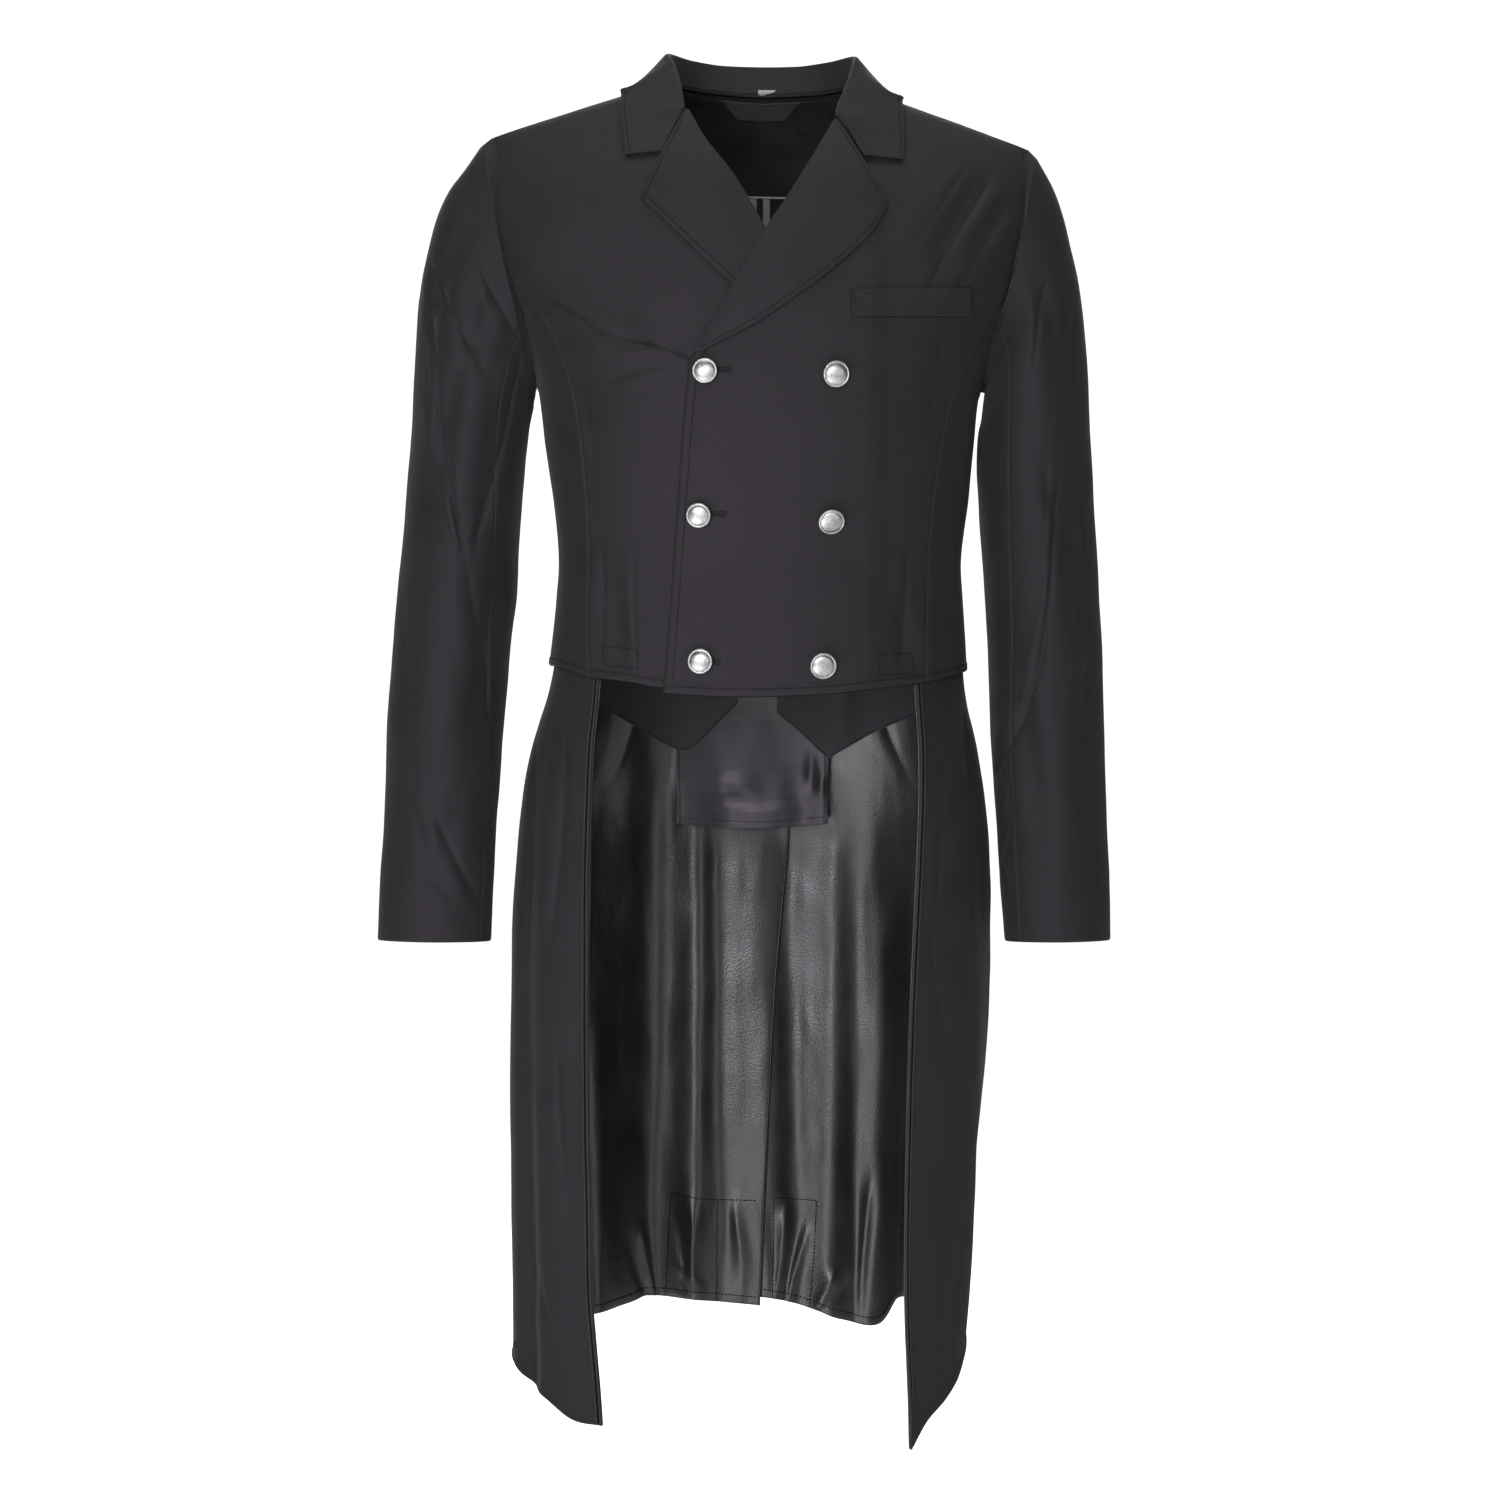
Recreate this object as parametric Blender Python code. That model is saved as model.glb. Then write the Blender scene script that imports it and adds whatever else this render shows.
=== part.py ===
"""Dressage tailcoat, hollow and standing as if worn: one closed shell per cloth piece.

Front faces -Y, +X is the wearer's left, z = 0 is the shoulder tips.
Tables are in millimetres; everything built from them is in metres.
"""
import math

import bmesh
import bpy
from mathutils import Vector

MM = 0.001
WALL = 1.8 * MM            # main cloth with its lining
SKIN = 1.0 * MM            # lining skins, label, flap
SEAM = 0.2 * MM            # every seam edge draws back this far
LAP = 2.6 * MM             # how far the overlapping front stands out
TUCK = 3.7 * MM            # how far the tails sit inside the body hem
ROLL = 1.6 * MM            # radius of the turned lapel edge

# Coat form: height, half width right, half width left, depth front, depth back, roundness
FORM = [
    (60, 222, 222, 70, 88, 2.40),
    (5, 224, 224, 84, 100, 2.40),
    (-40, 234, 232, 96, 112, 2.45),
    (-80, 234, 230, 104, 120, 2.50),
    (-120, 219, 216, 110, 125, 2.50),
    (-150, 204, 202, 114, 126, 2.45),
    (-200, 187, 185, 118, 122, 2.40),
    (-250, 180, 179, 118, 113, 2.35),
    (-300, 173, 174, 113, 101, 2.30),
    (-345, 169, 169, 108, 94, 2.30),
    (-380, 171, 170, 108, 96, 2.30),
    (-410, 174, 172, 109, 102, 2.30),
    (-440, 178, 174, 110, 108, 2.30),
    (-480, 187, 178, 111, 118, 2.30),
    (-530, 198, 186, 112, 129, 2.30),
    (-580, 204, 192, 112, 135, 2.30),
    (-640, 208, 196, 112, 137, 2.30),
    (-720, 210, 198, 111, 136, 2.30),
    (-820, 210, 196, 110, 134, 2.30),
    (-920, 209, 192, 109, 132, 2.30),
    (-1000, 208, 186, 108, 131, 2.30),
    (-1090, 208, 180, 108, 130, 2.30),
]
SHOULDER_TIP = (222, 6)    # distance from the middle, height
SHOULDER_SLOPE = 0.34
CROWN_FRONT = 110          # height over which the shoulder rounds off, front and back
CROWN_BACK = 80
LEAN = 0.022               # the wearer's right shoulder stands a little higher

# Armhole: middle height, half height, reach round the form in degrees
ARMHOLE_MID = -97.5
ARMHOLE_HALF = 103.5
ARMHOLE_REACH = {"right": 25.5, "left": 22.0, "back": 25.0}
PRINCESS_TURN = {"right": 94.0, "left": 99.0}   # where the front seams meet the armhole
BACK_TURN = 255.0                               # where the side-back seams meet it

# Seam and edge lines on the fronts: distance across, height
PRINCESS = {
    "right": [(-140.6, -444.5), (-142.6, -390.5), (-141.1, -348), (-143.2, -297.7),
              (-146.3, -260.6), (-150.4, -227.4), (-157, -198), (-165.4, -173.5),
              (-177.9, -148), (-193.1, -127.2)],
    "left": [(136.1, -448.2), (137.1, -390.5), (138, -347.2), (141.2, -304.3),
             (149.3, -248), (156.5, -216), (165, -191.4), (180.6, -159.6),
             (192, -138)],
}
SIDE_BACK = [(92, -428), (88, -390), (86, -345), (92, -290), (106, -235), (130, -185),
             (168, -148)]
OPENING = {
    "right": [(78, -457), (75, -330), (66, -194)],
    "left": [(-78.4, -457.6), (-73.6, -398.1), (-68.7, -333.2), (-62.8, -252.9),
             (-57.1, -188.2)],
}
ROLL_LINE = {
    "right": [(66, -194), (34.5, -137.9), (4.6, -86), (-22.6, -39), (-47.2, -5.8),
              (-62, 21.5)],
    "left": [(-57.1, -188.2), (-37.4, -160.6), (-18.8, -127.5), (4, -87.4), (26, -51.7),
             (46.5, -16.9), (64.4, 15.8)],
}
NECKLINE = {"right": [(-62, 21.5), (-73, 38.5), (-80, 54.3)],
            "left": [(64.4, 15.8), (74, 36.5), (80, 54.3)]}
FRONT_HEM = {
    "right": [(78, -457), (-20, -456), (-80.1, -453), (-105, -448.5), (-131.9, -445),
              (-140.6, -444.5)],
    "left": [(-78.4, -457.6), (-28.7, -460.5), (13.5, -460.1), (56.7, -458),
             (106, -452), (136.1, -448.2)],
}
SIDE_HEM = {"right": [(-140.6, -444.5), (-153.7, -439.6), (-173.3, -433.2)],
            "left": [(136.1, -448.2), (148.1, -445.5), (167.8, -439.2)]}
BACK_NECK = 53.5
BACK_HEM = -425

# Lapels: foot and run of the turned edge, and the outer edge from foot to tip
LAPEL_ROLL = {
    "right": [(11, -98), (4.6, -86), (-22.6, -39), (-47.2, -5.8), (-62, 21.5)],
    "left": [(-52.2, -182.6), (-37.4, -160.6), (-18.8, -127.5), (4, -87.4), (26, -51.7),
             (46.5, -16.9), (64.4, 15.8)],
}
LAPEL_EDGE = {
    "right": [(-13, -134.5), (-24.7, -124.1), (-49.1, -101.3), (-73.6, -78),
              (-98.2, -54.5)],
    "left": [(-45.6, -181), (-36.8, -175.9), (-8.4, -161.6), (24.1, -139.7),
             (56.7, -114.2), (89.4, -82.4), (105, -56.1)],
}

# Collar stations: stand edge (x, z on the form) and its height above the form, fold
# (x, y, z), outer edge (x, z on the form), how far the collar is folded
COLLAR = [
    ("front", (-80.2, -14.8), 2.7, (-80.2, -85.0, -15.0), "front", (-110.9, -19.0), 0.0),
    ("front", (-71.0, 4.6), 2.5, (-71.6, -75.0, 5.0), "front", (-113.5, 4), 0.35),
    ("front", (-65.4, 20.0), 1.9, (-65.0, -66.0, 22.4), "front", (-115.2, 18), 0.9),
    ("front", (-64.1, 28.0), -0.6, (-63.2, -56.0, 31.0), "front", (-115.8, 25), 1.0),
    ("front", (-72.4, 41.0), -0.9, (-68.2, -33.0, 55.0), "front", (-115.2, 36), 1.0),
    ("front", (-79.0, 54.4), -0.9, (-73.4, -10.0, 72.0), "front", (-115.0, 40.6), 1.0),
    ("back", (-75.0, 55.0), -0.9, (-76.8, 16.0, 83.0), "back", (-111, 38), 1.0),
    ("back", (-54.0, 54.8), -0.9, (-58.0, 51.0, 83.0), "back", (-84, 36), 1.0),
    ("back", (-28.0, 54.8), -0.9, (-31.0, 70.0, 81.6), "back", (-45, 32.5), 1.0),
    ("back", (0.1, 54.8), -0.9, (0.0, 76.0, 81.0), "back", (0.1, 31), 1.0),
    ("back", (28.0, 54.8), -0.9, (32.0, 70.0, 81.0), "back", (45, 32.5), 1.0),
    ("back", (54.0, 54.8), -0.9, (60.0, 51.0, 82.0), "back", (86, 36), 1.0),
    ("back", (75.0, 55.0), -0.9, (79.6, 16.0, 80.6), "back", (113, 38), 1.0),
    ("front", (79.0, 54.4), -0.9, (77.8, -10.0, 67.0), "front", (117.0, 39.6), 1.0),
    ("front", (73.6, 40.0), -0.9, (72.4, -33.0, 49.5), "front", (118.2, 34), 1.0),
    ("front", (65.2, 23.2), -0.6, (64.0, -61.0, 25.0), "front", (118.6, 23), 1.0),
    ("front", (68.0, 14.6), 1.9, (67.0, -69.5, 16.6), "front", (118.4, 13), 0.9),
    ("front", (75.2, 0.8), 2.5, (75.2, -77.0, 2.0), "front", (119, 1.5), 0.35),
    ("front", (85.0, -16.0), 2.7, (85.0, -86.5, -16.4), "front", (117.2, -17.4), 0.0),
]
COLLAR_BEND = 2.0          # radius of the collar fold

# Sleeves: outer point (x, z), under point (x, z), middle depth, half depth
SLEEVES = {
    "right": [
        (-235, 2, -188.5, -203, 0, 57), (-249, -18, -189, -207, 1, 60),
        (-262, -36, -190, -211, 2, 63), (-273, -61, -190.5, -216, 3, 65.5),
        (-281, -92, -192, -223, 4, 67.5), (-286.5, -128, -194, -232, 5.5, 68.5),
        (-289.5, -168, -195.7, -244, 7, 69), (-292, -210, -198, -264, 9, 69),
        (-295, -255, -200.5, -296, 11, 68.5), (-298.5, -300, -203.5, -334, 13, 67.5),
        (-303, -345, -205, -375, 13, 66), (-307, -390, -210, -413, 11, 63),
        (-310.5, -435, -213, -451, 7, 59), (-313, -480, -216, -491, 1, 55),
        (-314, -525, -218.5, -532, -6, 51), (-315, -570, -221, -575, -13, 47),
        (-317.5, -615, -222.5, -617, -20, 43.5), (-318.8, -662, -224, -663, -27, 40.2),
    ],
    "left": [
        (233, -8, 189, -204, 0, 57), (246, -32, 188.5, -208, 1, 60),
        (255, -58, 188, -213, 2, 63), (261, -84, 187.5, -219, 3, 65.5),
        (267.5, -110, 186.5, -227, 4, 67.5), (272, -140, 184.5, -236, 5.5, 68.5),
        (275, -176, 183.4, -248, 7, 69), (277, -216, 182.8, -268, 9, 69),
        (279.5, -259, 184.4, -298, 11, 68.5), (282, -302, 187, -335, 13, 67.5),
        (284.5, -346, 189.5, -376, 13, 66), (286.5, -391, 192, -414, 11, 63),
        (288.5, -436, 193, -452, 7, 59), (289, -480, 193.5, -491, 1, 55),
        (289.5, -525, 195.5, -532, -6, 51), (290.5, -570, 198.5, -575, -13, 47),
        (291.5, -615, 201, -617, -20, 43.5), (292.4, -662, 203.7, -663, -27, 40.2),
    ],
}
SLEEVE_FRONT_SEAM = {"right": (124.0, 147.0), "left": (120.0, 137.0)}   # armhole, cuff
SLEEVE_BACK_SEAM = 240.0
# Largest sleeve folds: height, turn round the sleeve, length, width, depth inwards
SLEEVE_FOLDS = {
    "right": [(-112, 52, 60, 11, 5.0), (-245, 70, 62, 13, 5.5), (-265, 118, 60, 12, 5.0),
              (-150, 96, 42, 10, 4.0), (-420, 132, 80, 14, 4.5), (-585, 100, 38, 12, 3.0),
              (-330, 215, 50, 14, 5.5), (-300, 262, 46, 14, 4.5), (-150, 300, 60, 12, 4.0)],
    "left": [(-350, 58, 95, 12, 5.5), (-300, 80, 45, 10, 4.0), (-520, 112, 70, 14, 4.0),
             (-150, 70, 48, 12, 3.5), (-330, 222, 50, 14, 5.5), (-295, 268, 46, 14, 4.5),
             (-165, 296, 60, 12, 4.0)],
}

# Largest body folds: middle x, z, run x, z (half length), half width, depth inwards
BODY_FOLDS = {
    "right": [(-140, -135, 46, -24, 13, 4.5), (-118, -395, 4, -45, 8, 2.5)],
    "left": [(166, -62, -24, -42, 10, 4.5), (188, -70, -18, -28, 9, 3.5),
             (118, -405, 3, -36, 8, 2.5)],
    "back": [(0, -300, 60, 6, 10, 3.0), (118, -60, -34, -50, 13, 4.0),
             (-118, -60, 34, -50, 13, 4.0), (60, -250, 60, 12, 9, 3.0),
             (-60, -335, -60, 10, 9, 3.0)],
}

# Tails: front edge (x, z), hem (x, z, front or back), centre-back edge (x, z)
TAIL_EDGE = {
    "right": [(-134.2, -437), (-139.3, -545), (-141, -627), (-141, -790), (-139.3, -872),
              (-137.7, -954), (-131.1, -1035), (-129.6, -1057)],
    "left": [(130, -440), (130.8, -545), (127.4, -627), (123.2, -708), (120.8, -790),
             (119.2, -872), (119, -954), (122.6, -1037), (123.6, -1078)],
}
TAIL_HEM = {
    "right": [(-129.6, -1057, 0), (-153.6, -1054, 0), (-175.7, -1039.6, 0),
              (-194.5, -1029, 0), (-204, -1017, 0), (-207.6, -1007, 0),
              (-196, -999, 1), (-172, -994, 1), (-145, -989.8, 1), (-110.8, -984, 1),
              (-93.6, -979.5, 1), (-54.6, -983, 1), (0.3, -987.8, 1)],
    "left": [(123.6, -1078, 0), (137.1, -1055, 0), (150.9, -1040.5, 0),
             (161.5, -1026, 0), (168, -1010, 0), (172.4, -996, 0), (166, -984, 1),
             (148, -977, 1), (124.7, -978, 1), (100, -1004, 1), (70.8, -999.8, 1),
             (48.2, -991.7, 1), (9.9, -982, 1), (-45, -978, 1)],
}
TAIL_VENT = {"right": [(30, -417), (26.5, -569), (13.4, -722), (0.3, -987.8)],
             "left": [(-24, -417), (-28, -569), (-36, -760), (-45, -978)]}
# Largest tail folds: turn round the form, half width in degrees, depth at the hem
# (+ draws in), height where it starts
TAIL_FOLDS = {
    "right": [(-67, 6, 9, -440), (-104, 9, 14, -470), (-122, 8, -10, -480),
              (-139, 7, 12, -560), (-154, 7, -9, -520)],
    "left": [(72, 6, 7, -440), (105, 9, 13, -470), (121, 8, -11, -520),
             (138, 8, 20, -560), (154, 7, -9, -520)],
}

# Inside, at the back: pointed waist facings and the flap between them
FACING_FOOT = {
    "right": [(-146, -461), (-138.9, -465.4), (-113.7, -479.8), (-76, -499.7),
              (-61, -498.6), (-40, -480), (-20.1, -460.7)],
    "left": [(15.5, -468.3), (38, -487), (60.7, -507.1), (66, -505.8), (101.8, -487.1),
             (136.2, -473.4), (145, -468.4)],
}
FACING_TOP = -436
FLAP = (-75.5, 62, -440, -566)        # left, right, top, foot
LABEL = (1, 35.3, 20.5, 51.2, 36.6)   # middle, half width at the top, at the foot, heights
SIZE_TAB = (-1.5, 15.3, 56.6, 60.6)   # left, right, foot, top
WELT = [(73.7, -128.6), (173, -121.8), (74.5, -150.9), (174.2, -145.1)]
BUTTONS = [(-44.8, -196.6), (-49.8, -312.8), (-48.6, -431.8),
           (61.2, -198.8), (57.3, -317), (50.8, -435)]
# Button section: radius, height above the cloth
BUTTON = [(0, 0.4), (2.6, 0.4), (2.6, 2.8), (9.8, 2.6), (10.75, 3.8), (10.3, 5.0),
          (7.6, 6.5), (4.0, 7.2), (0, 7.4)]

COLOURS = {
    "cloth": ((0.031, 0.028, 0.033), 0.9, 0.0),
    "lining": ((0.012, 0.012, 0.013), 0.35, 0.0),
    "satin": ((0.06, 0.055, 0.065), 0.4, 0.0),
    "tape": ((0.70, 0.70, 0.70), 0.9, 0.0),
    "metal": ((0.72, 0.72, 0.72), 0.3, 1.0),
}


def clamp(value, low=0.0, high=1.0):
    return min(max(value, low), high)


def smooth(value):
    value = clamp(value)
    return value * value * (3 - 2 * value)


def table_at(rows, key):
    """Smooth reading of a table whose first column falls."""
    if key >= rows[0][0]:
        return rows[0][1:]
    if key <= rows[-1][0]:
        return rows[-1][1:]
    i = 0
    while rows[i + 1][0] > key:
        i += 1
    first, second = rows[i], rows[i + 1]
    before = rows[max(i - 1, 0)]
    after = rows[min(i + 2, len(rows) - 1)]
    span = second[0] - first[0]
    t = (key - first[0]) / span
    out = []
    for k in range(1, len(first)):
        slope_a = (second[k] - before[k]) / (second[0] - before[0]) * span
        slope_b = (after[k] - first[k]) / (after[0] - first[0]) * span
        out.append((2 * t**3 - 3 * t**2 + 1) * first[k] + (t**3 - 2 * t**2 + t) * slope_a
                   + (3 * t**2 - 2 * t**3) * second[k] + (t**3 - t**2) * slope_b)
    return out


def ridge(x):
    """Height of the shoulder seam at a distance from the middle, before the lean."""
    return (SHOULDER_TIP[1] + (SHOULDER_TIP[0] - abs(x) / MM) * SHOULDER_SLOPE) * MM


def fold_depth(x, z, folds):
    """Summed inward depth of straight soft folds at a place on the form."""
    depth = 0.0
    for mid_x, mid_z, run_x, run_z, width, amount in folds:
        length = math.hypot(run_x, run_z)
        dx, dz = x / MM - mid_x, z / MM - mid_z
        along = (dx * run_x + dz * run_z) / length**2
        across = (dx * run_z - dz * run_x) / length / width
        depth += amount * MM * math.exp(-along**4 * 1.5 - across**2)
    return depth


def plain_body(theta, z):
    """Coat form at a turn from the middle front (+ to the wearer's left) and a height."""
    right, left, front, back, power = table_at(FORM, z / MM)
    side, fore = math.sin(theta), math.cos(theta)
    half = (left if side > 0 else right) * MM
    depth = (front if fore > 0 else back) * MM
    x = half * math.copysign(abs(side) ** (2 / power), side)
    crown = (CROWN_FRONT if fore > 0 else CROWN_BACK) * MM
    drop = clamp((ridge(x) - z) / crown)
    y = -depth * math.copysign(abs(fore) ** (2 / power), fore) * math.sqrt(1 - (1 - drop)**2)
    lean = LEAN * x * clamp((z + 0.40) / 0.35)
    return Vector((x, y, z - lean))


def body_normal(theta, z):
    x = plain_body(theta, z).x
    on_ridge = ridge(x) - z < 0.3 * MM
    z = min(z, ridge(x) - 0.6 * MM)
    across = plain_body(theta + 1e-3, z) - plain_body(theta - 1e-3, z)
    down = plain_body(theta, z - 2e-4) - plain_body(theta, z)
    normal = down.cross(across)
    if on_ridge:
        normal.y = 0
    return normal.normalized()


def turn_at(x, z, back=False):
    """Turn round the form of a place given by its distance across and height, in mm."""
    right, left, _, _, power = table_at(FORM, z)
    ratio = clamp(abs(x) / (left if x > 0 else right))
    turn = math.asin(ratio ** (power / 2))
    if back:
        turn = math.pi - turn
    return math.copysign(turn, x)


def front_lift(x, z):
    """The wearer's left front stands clear of the other front and its lapel."""
    over = smooth((0.108 - x) / 0.022) * smooth((-0.052 - z) / 0.03)
    bump = math.exp(-((x + 0.004) / 0.05)**2 - ((z + 0.112) / 0.05)**2)
    return LAP * over + 4.2 * MM * bump


def body_point(theta, z, out=0.0, part="back"):
    """Point of the body cloth; out moves it along the normal."""
    point = plain_body(theta, z)
    if part == "left":
        out += front_lift(point.x, z)
    fade = smooth((ridge(point.x) - z) / (18 * MM))
    if math.cos(theta) > 0:
        folds = BODY_FOLDS["left" if point.x > 0 else "right"]
        fade *= smooth((abs(point.x) - 85 * MM) / (25 * MM))
    else:
        folds = BODY_FOLDS["back"]
    out -= fold_depth(point.x, z, folds) * fade
    return point + body_normal(theta, z) * out


def armhole(side, turn):
    """Turn round the form and height of the armhole; turn 0 is the shoulder tip."""
    turn = math.radians(turn)
    reach = ARMHOLE_REACH[side if math.sin(turn) > 0 else "back"]
    lean_in = math.radians(reach) * math.sin(turn) * (1 + 0.2 * math.cos(turn))
    theta = math.pi / 2 - lean_in
    z = (ARMHOLE_MID + ARMHOLE_HALF * math.cos(turn)) * MM
    return (theta if side == "left" else -theta, z)


def spline(keys, fraction):
    """Point of a smooth line through keys, by length fraction."""
    vectors = [Vector(key) for key in keys]
    lengths = [0.0]
    for a, b in zip(vectors, vectors[1:]):
        lengths.append(lengths[-1] + (b - a).length)
    want = clamp(fraction) * lengths[-1]
    i = 0
    while i < len(vectors) - 2 and lengths[i + 1] < want:
        i += 1
    t = (want - lengths[i]) / (lengths[i + 1] - lengths[i])
    first, second = vectors[i], vectors[i + 1]
    before = vectors[i - 1] if i else first * 2 - second
    after = vectors[i + 2] if i + 2 < len(vectors) else second * 2 - first
    return 0.5 * (first * 2 + (second - before) * t
                  + (before * 2 - first * 5 + second * 4 - after) * t**2
                  + (first * 3 - before - second * 3 + after) * t**3)


def run(keys, steps, back=False):
    """Places (turn, height) along a line of (x, z) keys on the front or the back."""
    places = []
    for i in range(steps + 1):
        x, z = spline(keys, i / steps)
        places.append((turn_at(x, z, back), z * MM))
    return places


def armhole_run(side, start, end, steps):
    return [armhole(side, start + (end - start) * i / steps) for i in range(steps + 1)]


def join(*runs):
    """Joins runs end to end, each next one without its first place."""
    places = list(runs[0])
    for more in runs[1:]:
        places += more[1:]
    return places


def shoulder_run(side, steps):
    """Shoulder seam from the neck point to the tip."""
    sign = 1 if side == "left" else -1
    tip = armhole(side, 0.0)
    neck = NECKLINE[side][-1][0]
    places = []
    for i in range(steps + 1):
        x = neck + (sign * 224 - neck) * i / steps
        z = ridge(x * MM) / MM
        places.append((turn_at(x, z), z * MM))
    places[-1] = tip
    return places


def coons(foot, top, first, second):
    """Fills four joined lines of places with a grid of places, rows from the foot up."""
    rows, cols = len(first) - 1, len(foot) - 1
    grid = []
    for i in range(rows + 1):
        v = i / rows
        row = []
        for j in range(cols + 1):
            u = j / cols
            place = []
            for k in (0, 1):
                ruled = (1 - v) * foot[j][k] + v * top[j][k]
                ruled += (1 - u) * first[i][k] + u * second[i][k]
                ruled -= (1 - v) * ((1 - u) * foot[0][k] + u * foot[-1][k])
                ruled -= v * ((1 - u) * top[0][k] + u * top[-1][k])
                place.append(ruled)
            row.append(tuple(place))
        grid.append(row)
    return grid


def drawn_back(grid, amount=SEAM):
    """Moves the outline of a grid of points inwards along the cloth."""
    rows, cols = len(grid) - 1, len(grid[0]) - 1
    moved = [[point.copy() for point in row] for row in grid]
    for i in range(rows + 1):
        for j in range(cols + 1):
            if i in (0, rows):
                inner = grid[1][j] if i == 0 else grid[rows - 1][j]
                moved[i][j] += (inner - grid[i][j]).normalized() * amount
            if j in (0, cols):
                inner = grid[i][1] if j == 0 else grid[i][cols - 1]
                moved[i][j] += (inner - grid[i][j]).normalized() * amount
    return moved


def grid_normals(grid, outward):
    """Normals of a grid of points; outward(i, j) is a rough outward direction."""
    rows, cols = len(grid) - 1, len(grid[0]) - 1
    normals = []
    for i in range(rows + 1):
        line = []
        for j in range(cols + 1):
            up = grid[min(i + 1, rows)][j] - grid[max(i - 1, 0)][j]
            across = grid[i][min(j + 1, cols)] - grid[i][max(j - 1, 0)]
            normal = across.cross(up).normalized()
            line.append(-normal if normal.dot(outward(i, j)) < 0 else normal)
        normals.append(line)
    return normals


def material(name, kind):
    colour, rough, metal = COLOURS[kind]
    mat = bpy.data.materials.new(name)
    mat.use_nodes = True
    shader = mat.node_tree.nodes["Principled BSDF"]
    shader.inputs["Base Color"].default_value = (*colour, 1)
    shader.inputs["Roughness"].default_value = rough
    shader.inputs["Metallic"].default_value = metal
    return mat


def solid(name, points, faces, kind):
    mesh = bpy.data.meshes.new(name)
    mesh.from_pydata([tuple(p) for p in points], [], faces)
    build = bmesh.new()
    build.from_mesh(mesh)
    bmesh.ops.recalc_face_normals(build, faces=build.faces)
    bmesh.ops.triangulate(build, faces=build.faces)
    build.to_mesh(mesh)
    build.free()
    mesh.shade_smooth()
    mesh.set_sharp_from_angle(angle=math.radians(40))
    thing = bpy.data.objects.new(name, mesh)
    thing.data.materials.append(material(name, kind))
    bpy.context.scene.collection.objects.link(thing)
    return thing


def shell(name, outer, inner, kind):
    """Closed shell between two grids of points of the same shape."""
    rows, cols = len(outer) - 1, len(outer[0]) - 1
    wide = cols + 1
    points = [p for row in outer for p in row] + [p for row in inner for p in row]
    other = len(points) // 2
    faces = []
    for i in range(rows):
        for j in range(cols):
            a = i * wide + j
            quad = (a, a + 1, a + 1 + wide, a + wide)
            faces.append(quad)
            faces.append(tuple(other + k for k in reversed(quad)))
    rim = [j for j in range(cols)] + [i * wide + cols for i in range(rows)]
    rim += [rows * wide + j for j in range(cols, 0, -1)] + [i * wide for i in range(rows, 0, -1)]
    for a, b in zip(rim, rim[1:] + rim[:1]):
        faces.append((b, a, other + a, other + b))
    return solid(name, points, faces, kind)


def body_shell(name, places, part, kind="cloth", out=0.0, wall=WALL):
    """Cloth on the coat form over a grid of places."""
    outer = drawn_back([[body_point(t, z, out, part) for t, z in row] for row in places])
    inner = []
    for row, line in zip(places, outer):
        inner.append([p - body_normal(t, z) * wall for (t, z), p in zip(row, line)])
    return shell(name, outer, inner, kind)


def princess_run(side, steps):
    """Princess seam from the hem to the armhole."""
    theta, z = armhole(side, PRINCESS_TURN[side])
    end = (plain_body(theta, z).x / MM, z / MM)
    places = run(PRINCESS[side] + [end], steps)
    places[-1] = (theta, z)
    return places


def side_back_run(side, steps):
    """Seam between side body and back, from the hem to the armhole."""
    sign = 1 if side == "left" else -1
    theta, z = armhole(side, BACK_TURN)
    end = (plain_body(theta, z).x / MM, z / MM)
    places = run([(sign * x, h) for x, h in SIDE_BACK] + [end], steps, back=True)
    places[-1] = (theta, z)
    return places


def front(side):
    open_rows, roll_rows, neck_rows, cols = 7, 9, 3, 12
    seam_rows = 12
    first = join(run(OPENING[side], open_rows), run(ROLL_LINE[side], roll_rows),
                 run(NECKLINE[side], neck_rows))
    rows = open_rows + roll_rows + neck_rows
    second = join(princess_run(side, seam_rows),
                  armhole_run(side, PRINCESS_TURN[side], 0.0, rows - seam_rows))
    places = coons(run(FRONT_HEM[side], cols), shoulder_run(side, cols), first, second)
    return body_shell("front_" + side, places, side)


def side_body(side):
    rows, cols = 12, 9
    sign = 1 if side == "left" else -1
    hem = run(SIDE_HEM[side], 3)
    start, end = hem[-1], (turn_at(sign * 92, -428, True), -428 * MM)
    steps = cols - 3
    round_back = [(start[0] + (end[0] - start[0]) * i / steps,
                   start[1] + (end[1] - start[1]) * i / steps) for i in range(steps + 1)]
    top = armhole_run(side, PRINCESS_TURN[side], BACK_TURN, cols)
    places = coons(join(hem, round_back), top, princess_run(side, rows),
                   side_back_run(side, rows))
    return body_shell("side_" + side, places, "side")


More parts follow.
